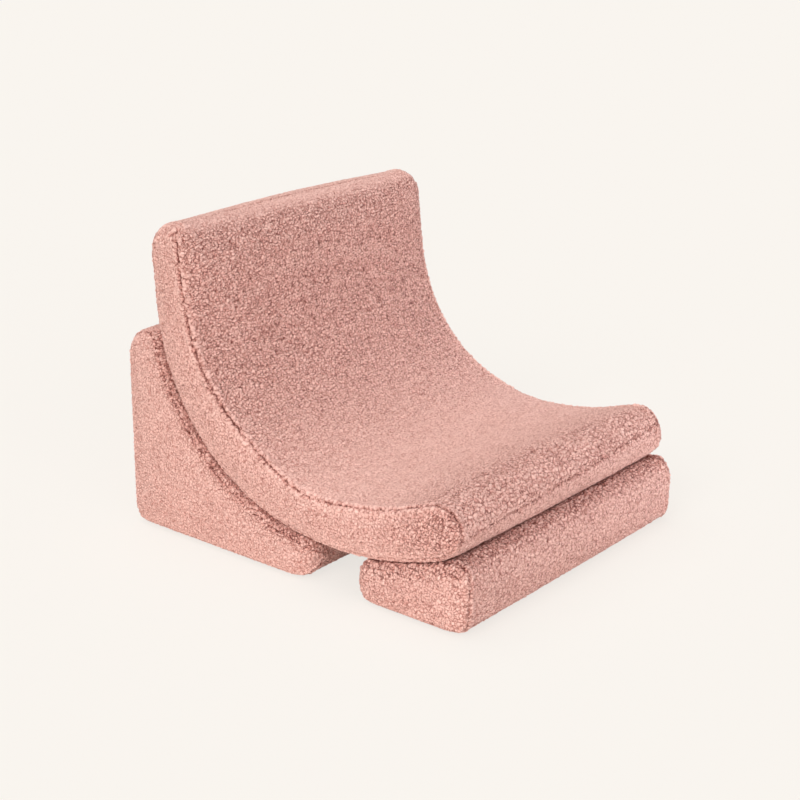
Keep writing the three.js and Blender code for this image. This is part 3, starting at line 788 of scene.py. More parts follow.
def side_seam_relief(body, points):
    """How far the side seam lifts the cover, in mm, how much painted shade darkens its groove and
    creases, and its ridges.
    """
    across = across_seam(body, points)
    folds = gathers(along_outline(body, points), across, 40)
    lumps = nubs(points, SEAM_LUMP, 47)
    kinks = soft_noise(points / KINKS_OVER, 44)
    gathered = SLIGHTLY_GATHERED
    strength = 1
    line = 1
    width = GROOVE_WIDTH
    if body == "seat_shell":
        run, depth = seat_run_and_depth(points)
        gathered = 1 - 0.8 * ease(depth, 0.35 * SHELL_THICKNESS, 0.65 * SHELL_THICKNESS)
        at_top = near_top(run, 24 * MM, 6 * MM)
        at_nose = near_tip(run, 34 * MM, 12 * MM)
        strength = 1 - 0.75 * at_top - 0.8 * at_nose
        line = 1 - 0.75 * at_top
        width = GROOVE_WIDTH + GROOVE_WIDENS * at_nose
    weak_or_strong = (1 + soft_noise(points / UNEVEN_OVER, 45)) * gathered
    ridges = bump(across - RIDGE_OUT, RIDGE_WIDTH) + bump(across + RIDGE_OUT, RIDGE_WIDTH)
    ridges *= strength
    creases = 0.4 * (1 - folds) * bump(across, CREASE_REACH) * weak_or_strong * strength
    groove = (0.7 + 1.6 * kinks) * bump(across + KINK * kinks, width) * (0.5 + 0.5 * gathered) * line
    plump = 0.15 + 0.3 * gathered + 0.8 * lumps * (0.4 + 0.6 * gathered)
    between = 0.6 * ridges * gathered * (1 - lumps) ** 2
    lift = 2.3 * ridges * plump - 2.2 * groove - 2.8 * creases
    # The second result is painted shade: the groove, the creases between the folds and the hollows
    # between the lumps on the ridges are darkened in colour.
    return lift, 0.8 * groove + creases + between, ridges * plump * gathered


def nose_seam_relief(points):
    """How far the seam under the nose lifts the cover, in mm, and the painted shade of its groove."""
    run, depth = seat_run_and_depth(points)
    wander = NOSE_SEAM_WANDER * soft_noise(points / NOSE_WANDERS_OVER, 52)
    open_here = np.clip(0.55 + 1.3 * soft_noise(points / NOSE_BREAKS_OVER, 53), 0, 1)
    across = depth - NOSE_SEAM_DEPTH - NOSE_SEAM_SLANT * points[:, 0] + wander
    folds = gathers(points[:, 0], across, 50)
    band = bump(np.maximum(-across - BAND_STEP, 0), BAND_WIDTH) * (across < 0)
    at_nose = near_tip(run, 16 * MM, 6 * MM)
    groove = (0.5 + 0.4 * (1 - folds)) * open_here * bump(across, NOSE_GROOVE_WIDTH) * at_nose
    return 1.2 * band * (0.6 + 0.4 * folds) * at_nose - 3.2 * groove, groove


def top_seam_relief(points):
    """How far the seam along the top lifts the cover, in mm, and the painted shade of its groove."""
    run, depth = seat_run_and_depth(points)
    across = depth - TOP_SEAM_DEPTH
    at_top = near_top(run, 12 * MM, 4 * MM)
    groove = bump(across, TOP_GROOVE_WIDTH) * at_top
    ridges = bump(np.abs(across) - TOP_RIDGE_OUT, TOP_RIDGE_WIDTH)
    return 0.4 * ridges * at_top - 1.2 * groove, 0.3 * groove


print("gathers every", GATHER_PERIOD / MM, "mm")

# %% [markdown]
# The pile isn't the same all over. On the picture's chair it is deep and open on the upper back, worn
# flatter and finer on the seat, and longest on the band round the nose; the side panels were brushed
# smooth. Each place gets a height for its curls, in millimetres, and a share of large ones. The tops of
# the curls and the depth of the pile are kept as attributes, which the material reads to paint shade
# into the creases. Deeper pile gets more of that painted shade, so the deeper pile on the upper back and
# near the shell on the wedge and the block is also painted shade, which darkens those places.

# %% Pile
FINE_CURL = 4.2 * MM
LONG_CURL = 5.4 * MM
SEAT_PILE = 1.5
BAND_PILE = 2.3
SIDE_PILE = 2
WEDGE_PILE = 1.9
BLOCK_PILE = 2.2
FULL_PILE = 2.5
FLOOR_SKIM = 0.4 * MM
PRESSED_PILE = 1.2
# PRESSED_SHADE is painted shade for the faces where a cushion rests.
PRESSED_SHADE = 0.7
PILE_STANDS = 2.3
SIDE_CROWN = 2.2
PATCH = 45 * MM
BAND_START = 142 * MM
BAND_SLANT = 0.05


def pile_of_shell(points):
    """How high the curls are, in mm, and which share of them is long."""
    run, depth = seat_run_and_depth(points)
    rear_face = ease(depth, 0.45 * SHELL_THICKNESS, 0.85 * SHELL_THICKNESS)
    # The deeper pile on the upper back is partly painted shade: its darker creases darken the back.
    upper_back = fade(run, -270 * MM, 10 * MM) * (1 - 0.8 * rear_face)
    band_edge = BAND_START + BAND_SLANT * points[:, 0]
    below_seam = ease(depth, NOSE_SEAM_DEPTH - 3 * MM, NOSE_SEAM_DEPTH + 3 * MM)
    band = ease(run, band_edge - 9 * MM, band_edge + 9 * MM) * (1 - below_seam)
    top = near_top(run, 25 * MM, 5 * MM)
    side = ease(across_seam("seat_shell", points), 2 * MM, 8 * MM)
    nose = ease(run, 50 * MM, 160 * MM)
    face = SEAT_PILE + 1.1 * upper_back - 1.2 * top + 0.5 * nose
    height = mix(mix(face, BAND_PILE, band), SIDE_PILE + 0.8 * nose, side)
    face_long_share = np.clip(0.1 + 0.2 * upper_back + band, 0, 1)
    return height, mix(face_long_share, 0.2 + 0.5 * nose, side)


def pile_of_wedge(points):
    # Deeper pile near the shell is partly painted shade: it darkens the top of the wedge's sides, under
    # the shell.
    near_shell = fade(below_cradle(points), 8 * MM, 24 * MM)
    return WEDGE_PILE + 0.8 * near_shell, 0.2 + 0.6 * near_shell


def pile_of_block(points):
    # Deeper pile near the shell is partly painted shade: it darkens the block's top, under the shell's
    # nose.
    near_shell = fade(below_cradle(points), 6 * MM, 26 * MM)
    return BLOCK_PILE + 0.6 * near_shell, 0.5 + 0.5 * near_shell


PILE = {"seat_shell": pile_of_shell, "rear_wedge": pile_of_wedge, "front_block": pile_of_block}


def keep(piece, name, values):
    """An attribute that holds a number for each point."""
    attribute = piece.data.attributes.new(name, "FLOAT", "POINT")
    attribute.data.foreach_set("value", values.astype(np.float32))


def raise_pile(body, piece, seed):
    """Moves each point out by seams and curls, and keeps what colours them."""
    points = points_of(piece)
    outwards = normals_of(piece)
    height, long_share = PILE[body](points)
    resting = rests(body, points)
    relief, dark, ridges = side_seam_relief(body, points)
    height = mix(height, PRESSED_PILE, resting) * (1 - 0.4 * np.minimum(ridges, 1))
    patches = 1 + 0.5 * soft_noise(points / PATCH, seed + 20)
    tops = mix(nubs(points, FINE_CURL, seed), nubs(points, LONG_CURL, seed + 7), long_share)
    if body == "seat_shell":
        for more_relief, more_seam_shade in (nose_seam_relief(points), top_seam_relief(points)):
            relief += more_relief
            dark += more_seam_shade
    relief *= 1 - 0.8 * resting
    on_side = ease(across_seam(body, points), -4 * MM, 18 * MM)
    relief += (PILE_STANDS + SIDE_CROWN * on_side) * (1 - resting)
    moved = points + outwards * ((relief + (tops - 0.5) * height * patches) * MM)[:, None]
    moved[:, 2] = np.maximum(moved[:, 2], FLOOR_SKIM)
    move_points(piece, moved)
    # dark is the seams' painted shade. It lowers the tops, which darkens the colour there. The pile
    # attribute is how much painted shade the creases get: more where the pile is deep, more by
    # PRESSED_SHADE where a cushion rests, plus the seams' shade, and less on the seam ridges, a painted
    # highlight that lightens them.
    dark = np.clip(dark, 0, 1)
    keep(piece, "tops", tops * (1 - 0.9 * dark))
    shade = (height + PRESSED_SHADE * resting) / FULL_PILE
    keep(piece, "pile", np.clip(shade * (1 - 0.4 * ridges) + 0.8 * dark, 0, 1.2))
    print(body, "pile", round(height.min(), 2), "to", round(height.max(), 2), "mm high")


for number, (body, piece) in enumerate(covers.items()):
    raise_pile(body, piece, 100 * (number + 1))

# %% [markdown]
# No finish here is one plain colour. Noise or a pattern says at each point how high the surface
# stands, and that height picks the colour and raises a bump. Every material below goes through
# these steps, so each step is written once. Patterns are placed in the piece's own space, and they
# stay put when it moves.

# %% Steps that the materials share


def node_group(name, entries, results):
    """An empty node group with named number sockets, and its two ends."""
    group = bpy.data.node_groups.new(name, "ShaderNodeTree")
    for names, way in ((entries, "INPUT"), (results, "OUTPUT")):
        for socket in names:
            group.interface.new_socket(socket, in_out=way, socket_type="NodeSocketFloat")
    entry = group.nodes.new("NodeGroupInput").outputs
    result = group.nodes.new("NodeGroupOutput").inputs
    return group, entry, result


def place_on_piece(nodes):
    return nodes.new("ShaderNodeTexCoord").outputs["Object"]


def noise_node(nodes, links, place, size, detail):
    """Noise with features of a given size."""
    node = nodes.new("ShaderNodeTexNoise")
    node.inputs["Scale"].default_value = 1 / size
    node.inputs["Detail"].default_value = detail
    links.new(place, node.inputs["Vector"])
    return node.outputs


def tint_by(nodes, links, shader, level, *stops):
    """The base colour by a level, from stops of a level and a colour each."""
    node = nodes.new("ShaderNodeValToRGB")
    elements = node.color_ramp.elements
    for number, (position, colour) in enumerate(stops):
        stop = elements[number] if number < 2 else elements.new(position)
        stop.position = position
        stop.color = colour
    links.new(level, node.inputs["Fac"])
    links.new(node.outputs["Color"], shader.inputs["Base Color"])


def relief_by(nodes, links, shader, height, strength, distance):
    """A bump of the surface by a height."""
    node = nodes.new("ShaderNodeBump")
    node.inputs["Strength"].default_value = strength
    node.inputs["Distance"].default_value = distance
    links.new(height, node.inputs["Height"])
    links.new(node.outputs["Normal"], shader.inputs["Normal"])


print("steps ready")

# %% [markdown]
# Fleece is matte and pale at the tips of its curls. Its creases are painted dark and warm: painted shade
# for the shade deep between the hairs, where light has bounced from hair to hair. The mesh holds the
# larger nubs. Smaller ones between them come from a Voronoi pattern in the material, bent by noise,
# which paints shade into their creases and feeds the bump. Both are mixed by how deep the pile is. Sheen
# whitens the pile where it is seen edge-on.

# %% Teddy fleece
# CREASE_SHADE is painted shade: the dark colour that the creases between the nubs are given.
CREASE_SHADE = (0.17, 0.035, 0.026, 1)
BODY_OF_PILE = (0.69, 0.327, 0.275, 1)
TIPS = (0.95, 0.60, 0.53, 1)
SMALL_NUB = 3.9 * MM
NUB_BEND = 1.5 * MM
BEND_SIZE = 5 * MM
NUB_SHOULDER = 0.16
BROKEN_LINE = 6 * MM
HAIR = 1.1 * MM
NUB_RELIEF = 1.6 * MM


def small_nubs():
    """A node group: bent nubs of a given size, 0 in the creases and 1 on top."""
    group, entry, result = node_group("small nubs", ["Size"], ["Nubs"])
    nodes = group.nodes
    links = group.links
    place = place_on_piece(nodes)
    bend = noise_node(nodes, links, place, BEND_SIZE, 1)
    centred = nodes.new("ShaderNodeVectorMath")
    centred.operation = "SUBTRACT"
    centred.inputs[1].default_value = (0.5, 0.5, 0.5)
    links.new(bend["Color"], centred.inputs[0])
    scaled = nodes.new("ShaderNodeVectorMath")
    scaled.operation = "SCALE"
    scaled.inputs["Scale"].default_value = 4 * NUB_BEND
    links.new(centred.outputs[0], scaled.inputs[0])
    bent = nodes.new("ShaderNodeVectorMath")
    bent.operation = "ADD"
    links.new(place, bent.inputs[0])
    links.new(scaled.outputs[0], bent.inputs[1])
    wider = nodes.new("ShaderNodeMapping")
    wider.inputs["Scale"].default_value = [1 / stretch for stretch in NUB_STRETCH]
    links.new(bent.outputs[0], wider.inputs["Vector"])
    cells = nodes.new("ShaderNodeTexVoronoi")
    cells.feature = "DISTANCE_TO_EDGE"
    links.new(wider.outputs[0], cells.inputs["Vector"])
    links.new(math_node(nodes, links, "DIVIDE", 1.0, entry["Size"]), cells.inputs["Scale"])
    share = math_node(nodes, links, "DIVIDE", cells.outputs["Distance"], NUB_SHOULDER, True)
    links.new(math_node(nodes, links, "POWER", share, 0.6), result["Nubs"])
    return group


def teddy_fleece(name):
    material, nodes, links, shader = new_material(name)
    tops = nodes.new("ShaderNodeAttribute")
    tops.attribute_name = "tops"
    pile = nodes.new("ShaderNodeAttribute")
    pile.attribute_name = "pile"
    small = nodes.new("ShaderNodeGroup")
    small.node_tree = small_nubs()
    small.inputs["Size"].default_value = SMALL_NUB
    place = place_on_piece(nodes)
    breaks = noise_node(nodes, links, place, BROKEN_LINE, 1)
    # The creases of the small nubs, broken up by noise, and the low places between the mesh's nubs are
    # darkened as painted shade, more where the pile is deep.
    crease = math_node(nodes, links, "SUBTRACT", 1.0, small.outputs["Nubs"])
    broken = math_node(nodes, links, "MULTIPLY", crease, breaks["Fac"])
    low = math_node(nodes, links, "SUBTRACT", 1.0, tops.outputs["Fac"])
    low_share = math_node(nodes, links, "MULTIPLY", low, 0.6)
    painted_shade = math_node(nodes, links, "ADD", broken, low_share)
    shown = math_node(nodes, links, "MULTIPLY", painted_shade, pile.outputs["Fac"])
    level = math_node(nodes, links, "SUBTRACT", 1.0, shown, True)
    tint_by(nodes, links, shader, level, (0.12, CREASE_SHADE), (0.85, TIPS), (0.52, BODY_OF_PILE))
    hairs = noise_node(nodes, links, place, HAIR, 2)
    fine = math_node(nodes, links, "MULTIPLY", hairs["Fac"], 0.35)
    height = math_node(nodes, links, "ADD", small.outputs["Nubs"], fine)
    deep = math_node(nodes, links, "MULTIPLY", height, pile.outputs["Fac"])
    relief_by(nodes, links, shader, deep, 0.8, NUB_RELIEF)
    shader.inputs["Roughness"].default_value = 0.95
    shader.inputs["Specular IOR Level"].default_value = 0.1
    shader.inputs["Sheen Weight"].default_value = 0.12
    shader.inputs["Sheen Roughness"].default_value = 0.5
    shader.inputs["Sheen Tint"].default_value = (1, 0.9, 0.87, 1)
    return material


fleece = teddy_fleece("pink teddy fleece")
for body, piece in covers.items():
    piece.data.materials.clear()
    piece.data.materials.append(fleece)
    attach(piece, body)
    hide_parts(body + "_cover")
    CHAIR_ONLY.objects.link(piece)
print("covers dressed")

# %% [markdown]
# Turned over, the real thing shows what holds it together: a zip under each cushion, woven panels
# with rubber dots under the wedge and the block, and between the cushions strips of hooks and loops.
# The covers make room for these. Over each panel the fleece's underside is lifted to a flat roof,
# so that its pile just laps over the panel's edge, and a groove lets the shell's zip show.

# %% Room for the panels and the zip
OVER_PANEL = 1.7 * MM
OVER_ZIP = 1.3 * MM
UNDER_PANEL = 1.5 * MM
PANEL_CORNER = 12 * MM
ZIP_SLOT_HALF_LENGTH = 190.3 * MM
ZIP_SLOT_HALF_WIDTH = 5.8 * MM


def make_room(body, piece):
    """Lifts the underside over a panel, or over the shell's zip."""
    points = points_of(piece)
    if body == "seat_shell":
        low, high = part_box("seat_shell_zip_coil")
        middle = (low.y + high.y) / 2
        beside = ZIP_SLOT_HALF_WIDTH - np.abs(points[:, 1] - middle)
        inside = np.minimum(beside, ZIP_SLOT_HALF_LENGTH - np.abs(points[:, 0])) > 0
        roof = high.z + OVER_ZIP
    else:
        low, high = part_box(body + "_base_panel")
        from_sides = high.x - UNDER_PANEL - np.abs(points[:, 0])
        from_ends = np.minimum(points[:, 1] - low.y, high.y - points[:, 1]) - UNDER_PANEL
        inside = rounded_inside(from_sides, from_ends, PANEL_CORNER) > 0
        roof = high.z + OVER_PANEL
    lifted = inside & (points[:, 2] < roof)
    points[lifted, 2] = roof
    move_points(piece, points)
    print(body, "has", lifted.sum(), "points lifted to", round(roof / MM, 1), "mm")


for body, piece in covers.items():
    make_room(body, piece)

# %% [markdown]
# The small sewn things come next. Each is modelled flat and at its real size, with few faces, and a
# row of equal ones is an array of the first. These helpers hold the steps that all of them share:
# clean a copy of a frame piece, repeat, join, and hand the piece over to its cushion.

# %% Helpers for small pieces
SQUARELY = 0.9
SMOOTH_ANGLE = math.radians(35)


def merged_copy(node, name):
    """A copy of a frame piece, with its loose triangles joined into clean faces."""
    piece = bpy.data.objects.new(name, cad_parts[node].data.copy())
    scene.collection.objects.link(piece)
    edit(piece, "VERT", "SELECT")
    bpy.ops.mesh.remove_doubles(threshold=SAME_PLACE)
    bpy.ops.mesh.dissolve_limited(angle_limit=math.radians(1))
    done()
    piece.data.materials.clear()
    return piece


def select_faces(piece, wanted):
    """Edit mode, with just those faces selected whose centre and normal pass the test."""
    edit(piece, "FACE", "DESELECT")
    done()
    for face in piece.data.polygons:
        face.select = wanted(face.center, face.normal)
    bpy.ops.object.mode_set(mode="EDIT")


def faces_down(centre, normal):
    """Whether a face looks squarely down."""
    return normal.z < -SQUARELY


def bevel_edges(piece, wanted, width, segments):
    """Rounds those edges whose two ends pass the test."""
    edit(piece, "EDGE", "DESELECT")
    done()
    places = piece.data.vertices
    for edge in piece.data.edges:
        edge.select = wanted(places[edge.vertices[0]].co, places[edge.vertices[1]].co)
    bpy.ops.object.mode_set(mode="EDIT")
    bpy.ops.mesh.bevel(offset=width, segments=segments)
    done()


def every_edge(start, end):
    """A test that every edge passes."""
    return True


def face_outwards(piece):
    """Turns all faces to look out."""
    edit(piece, "FACE", "SELECT")
    bpy.ops.mesh.normals_make_consistent(inside=False)
    done()


def settle(piece):
    """The object goes to the origin, unturned and unscaled, and its mesh keeps its place."""
    only_select(piece)
    bpy.ops.object.transform_apply(location=True, rotation=True, scale=True)


def block_of(size, place):
    """A box of that size around a place."""
    bpy.ops.object.select_all(action="DESELECT")
    bpy.ops.mesh.primitive_cube_add(size=1, location=place)
    piece = bpy.context.object
    piece.scale = size
    settle(piece)
    return piece


def rod_of(sides, radius, length, place=(0, 0, 0)):
    """A rod along X around a place."""
    bpy.ops.object.select_all(action="DESELECT")
    bpy.ops.mesh.primitive_cylinder_add(
        vertices=sides, radius=radius, depth=length, location=place, rotation=(0, math.pi / 2, 0)
    )
    piece = bpy.context.object
    settle(piece)
    return piece


def repeat(piece, count, step):
    """A straight row of a piece, as one mesh."""
    settle(piece)
    row = piece.modifiers.new("row", "ARRAY")
    row.count = count
    row.use_relative_offset = False
    row.use_constant_offset = True
    row.constant_offset_displace = step
    apply_modifiers(piece)
    return piece


def joined(name, pieces):
    """One piece out of several, with the first one's object."""
    for piece in pieces:
        settle(piece)
    only_select(pieces[0])
    for piece in pieces:
        piece.select_set(True)
    bpy.ops.object.join()
    pieces[0].name = name
    return pieces[0]


def hand_over(piece, body, node):
    """The piece stands for a node of the frame, moves with a body and is lit like the covers."""
    only_select(piece)
    bpy.ops.object.shade_smooth_by_angle(angle=SMOOTH_ANGLE)
    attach(piece, body)
    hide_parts(node)
    CHAIR_ONLY.objects.link(piece)


print("helpers ready")

# %% [markdown]
# Woven cloth shows on the base panels, the zip tapes and the backs of the strips. In a plain weave the
# threads take turns to lie on top, like a chessboard. One node group makes that for all of them: each
# square of the board shows a thread that is high in its middle, running one way or the other. Where the
# weave is low, between the threads, the cloth is given a darker colour as painted shade.

# %% Plain weave
FIBRE = 0.4 * MM


def plain_weave():
    """A node group: how high the threads of a weave stand, and the fibres along them."""
    group, entry, result = node_group("plain weave", ["Pitch"], ["Height", "Fibres"])
    nodes = group.nodes
    links = group.links
    place = place_on_piece(nodes)
    split = nodes.new("ShaderNodeSeparateXYZ")
    links.new(place, split.inputs[0])
    slope = math_node(nodes, links, "ADD", split.outputs["Y"], split.outputs["Z"])
    across = math_node(nodes, links, "DIVIDE", split.outputs["X"], entry["Pitch"])
    along_thread = math_node(nodes, links, "DIVIDE", slope, entry["Pitch"])
    heights = []
    for steps in (across, along_thread):
        turn = math_node(nodes, links, "MULTIPLY", steps, math.pi)
        wave = math_node(nodes, links, "SINE", turn, 0.0)
        heights.append(math_node(nodes, links, "ABSOLUTE", wave, 0.0))
    board_place = nodes.new("ShaderNodeCombineXYZ")
    links.new(across, board_place.inputs["X"])
    links.new(along_thread, board_place.inputs["Y"])
    board_place.inputs["Z"].default_value = 0.5
    board = nodes.new("ShaderNodeTexChecker")
    board.inputs["Scale"].default_value = 1
    links.new(board_place.outputs[0], board.inputs["Vector"])
    on_top = nodes.new("ShaderNodeMix")
    links.new(board.outputs["Fac"], on_top.inputs["Factor"])
    links.new(heights[0], on_top.inputs["A"])
    links.new(heights[1], on_top.inputs["B"])
    links.new(on_top.outputs["Result"], result["Height"])
    fibres = noise_node(nodes, links, place, FIBRE, 3)
    links.new(fibres["Fac"], result["Fibres"])
    return group


WEAVE = plain_weave()


def woven_cloth(name, thread, between, pitch):
    """Cloth with threads of one colour, and a darker colour between them that is painted shade."""
    material, nodes, links, shader = new_material(name)
    weave = nodes.new("ShaderNodeGroup")
    weave.node_tree = WEAVE
    weave.inputs["Pitch"].default_value = pitch
    worn = math_node(nodes, links, "MULTIPLY", weave.outputs["Fibres"], 0.4)
    level = math_node(nodes, links, "ADD", weave.outputs["Height"], worn)
    # Where the weave is low, between the threads, the colour is darker: painted shade.
    tint_by(nodes, links, shader, level, (0.25, between), (0.95, thread))
    relief_by(nodes, links, shader, level, 0.7, 0.3 * pitch)
    shader.inputs["Roughness"].default_value = 0.85
    shader.inputs["Specular IOR Level"].default_value = 0.25
    return material


# The second colour of each cloth is the painted shade between its threads.
base_cloth = woven_cloth("grey-beige base cloth", (0.72, 0.68, 0.65, 1), (0.42, 0.38, 0.35, 1), 0.9 * MM)
zip_cloth = woven_cloth("pink zip tape", (0.79, 0.56, 0.52, 1), (0.5, 0.29, 0.25, 1), 0.5 * MM)
strip_cloth = woven_cloth("cream strip tape", (0.91, 0.87, 0.82, 1), (0.62, 0.56, 0.5, 1), 0.6 * MM)
print("three cloths share one weave")

# %% [markdown]
# The other small finishes are moulded or drawn: nylon for the zips' teeth and the hooks, softer
# loops, rubber dots, lacquer on the sliders, sewing thread, and the foam inside. A finish of one
# colour looks false even on a small thing, so each is mottled by noise, which also varies its
# roughness and raises a fine grain, and the settings say how coarse and how strong.

# %% Moulded, drawn and foamed finishes
PORE = 1.2 * MM


def mottled(name, light, dark, grain, roughness, depth):
    """A finish between two colours and two roughnesses, with a grain of that size and depth."""
    material, nodes, links, shader = new_material(name)
    specks = noise_node(nodes, links, place_on_piece(nodes), grain, 4)["Fac"]
    tint_by(nodes, links, shader, specks, (0.35, dark), (0.65, light))
    polish = nodes.new("ShaderNodeMapRange")
    polish.inputs["From Min"].default_value = 0.3
    polish.inputs["From Max"].default_value = 0.7
    polish.inputs["To Min"].default_value = roughness[0]
    polish.inputs["To Max"].default_value = roughness[1]
    links.new(specks, polish.inputs["Value"])
    links.new(polish.outputs["Result"], shader.inputs["Roughness"])
    relief_by(nodes, links, shader, specks, 0.5, depth)
    return material, nodes, links, shader


FINISHES = {
    "rose zip nylon":
        ((0.80, 0.55, 0.50, 1), (0.70, 0.45, 0.40, 1), 2 * MM, (0.32, 0.5), 0.05 * MM),
    "cream hook nylon":
        ((0.93, 0.88, 0.83, 1), (0.84, 0.78, 0.72, 1), 1.5 * MM, (0.35, 0.55), 0.05 * MM),
    "cream loop yarn":
        ((0.95, 0.91, 0.87, 1), (0.82, 0.76, 0.70, 1), 0.7 * MM, (0.8, 0.95), 0.1 * MM),
    "grey grip rubber":
        ((0.50, 0.46, 0.43, 1), (0.38, 0.34, 0.31, 1), 3 * MM, (0.55, 0.75), 0.08 * MM),
    "pink sewing thread":
        ((0.88, 0.64, 0.59, 1), (0.66, 0.40, 0.35, 1), 0.5 * MM, (0.6, 0.8), 0.08 * MM),
}
zip_nylon, strip_nylon, loop_yarn, dot_rubber, thread = [
    mottled(name, *settings)[0] for name, settings in FINISHES.items()
]
lacquer, *_, shader = mottled(
    "rose slider lacquer",
    (0.74, 0.55, 0.52, 1), (0.66, 0.48, 0.45, 1), 4 * MM, (0.22, 0.42), 0.02 * MM,
)
shader.inputs["Coat Weight"].default_value = 0.4
shader.inputs["Coat Roughness"].default_value = 0.15


def open_foam():
    """Cream foam: noise for its tint, and a Voronoi pattern for its open cells."""
    material, nodes, links, shader = mottled(
        "cream seat foam", (0.96, 0.93, 0.84, 1), (0.90, 0.85, 0.72, 1), 12 * MM, (0.85, 1), 0.2 * MM
    )
    pores = nodes.new("ShaderNodeTexVoronoi")
    pores.inputs["Scale"].default_value = 1 / PORE
    links.new(place_on_piece(nodes), pores.inputs["Vector"])
    relief_by(nodes, links, shader, pores.outputs["Distance"], 0.8, 0.5 * MM)
    return material


foam = open_foam()
for body in covers:
    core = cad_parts[body + "_foam"]
    core.data.materials.clear()
    core.data.materials.append(foam)
    CHAIR_ONLY.objects.link(core)
print(len(covers), "foams keep the frame's shape inside their covers")

# %% [markdown]
# Sewing shows as rows of short stitches, each pressed into the cloth at its ends. One stitch is a
# thin rod whose two ends are drawn out and narrowed, and a row is an array of it. A curve through
# the cloth would be truer, but no eye or lens would find the difference at a third of a millimetre.

# %% Stitches
THREAD_RADIUS = 0.28 * MM
STITCH_LENGTH = 2.4 * MM
STITCH_PITCH = 4.2 * MM
TIP_LENGTH = 0.35 * MM


def stitch(place, turned):
    """One stitch lying along X, or along Y when it is turned by a quarter."""
    piece = rod_of(5, THREAD_RADIUS, STITCH_LENGTH - 2 * TIP_LENGTH)
    for side in (-1, 1):
        select_faces(piece, lambda centre, normal: normal.x * side > SQUARELY)
        bpy.ops.mesh.extrude_region_move(TRANSFORM_OT_translate={"value": (side * TIP_LENGTH, 0, 0)})
        end = (side * STITCH_LENGTH / 2, 0, 0)
        bpy.ops.transform.resize(value=(1, 0.4, 0.4), center_override=end)
        done()
    piece.rotation_euler.z = turned
    piece.location = place
    settle(piece)
    piece.data.materials.append(thread)
    return piece


def stitch_row(start, end):
    """Stitches from one place to another, which differ in x or in y alone."""
    start = Vector(start)
    way = Vector(end) - start
    count = int(way.length / STITCH_PITCH)
    turned = math.pi / 2 if abs(way.y) > abs(way.x) else 0
    step = way.normalized() * STITCH_PITCH
    first = start + way.normalized() * (way.length - (count - 1) * STITCH_PITCH) / 2
    return repeat(stitch(first, turned), count, step)


def stitched_rectangle(low_x, high_x, low_y, high_y, corner, height):
    """Four rows of stitches that stop short of the corners."""
    rows = []
    for y in (low_y, high_y):
        rows.append(stitch_row((low_x + corner, y, height), (high_x - corner, y, height)))
    for x in (low_x, high_x):
        rows.append(stitch_row((x, low_y + corner, height), (x, high_y - corner, height)))
    return rows


print("a stitch is", round(STITCH_LENGTH / MM, 1), "mm long")

# %% [markdown]
# The base panels are what the chair stands on: a stout cloth, hemmed all round and along the zip,
# and printed with rubber dots so that it doesn't slip. The frame's panel has the outline and the
# slot. Its underside is lifted by the height of a dot, the hem is left thicker by an inset of the
# rest, and the rims are rounded. The dots are cut-off cones in two arrays, set between each other.

# %% Base panels
DOT_HEIGHT = 0.7 * MM
HEM_WIDTH = 8 * MM
HEM_STEP = 0.35 * MM
RIM_ROUNDING = 0.5 * MM
DOT_FOOT_RADIUS = 1.5 * MM
DOT_ROOT_RADIUS = 2.1 * MM
DOT_ROUNDING = 0.25 * MM
DOT_SUNK = 0.1 * MM
DOT_PITCH = 14 * MM
DOT_ROW = 12 * MM
DOT_MARGIN = 15 * MM
HEM_STITCH_IN = 5.5 * MM
SLOT_STITCH_OUT = 4 * MM


def dot_field(low_x, high_x, low_y, high_y, top):
    """Rubber dots in rows between four limits, every other row shifted by half a pitch."""
    rows = int((high_y - low_y) / DOT_ROW) + 1
    start_y = (low_y + high_y - (rows - 1) * DOT_ROW) / 2
    fields = []
    for odd in (0, 1):
        count = int((high_x - low_x) / DOT_PITCH) + 1 - odd
        start_x = (low_x + high_x - (count - 1) * DOT_PITCH) / 2
        bpy.ops.object.select_all(action="DESELECT")
        bpy.ops.mesh.primitive_cone_add(
            vertices=8, radius1=DOT_FOOT_RADIUS, radius2=DOT_ROOT_RADIUS, depth=top,
            location=(start_x, start_y + odd * DOT_ROW, top / 2),
        )
        dot = bpy.context.object
        settle(dot)
        bevel_edges(dot, lambda a, b: max(a.z, b.z) < 0.1 * top, DOT_ROUNDING, 1)
        dot.data.materials.append(dot_rubber)
        repeat(dot, count, (DOT_PITCH, 0, 0))
        fields.append(repeat(dot, (rows + 1 - odd) // 2, (0, 2 * DOT_ROW, 0)))
    return fields


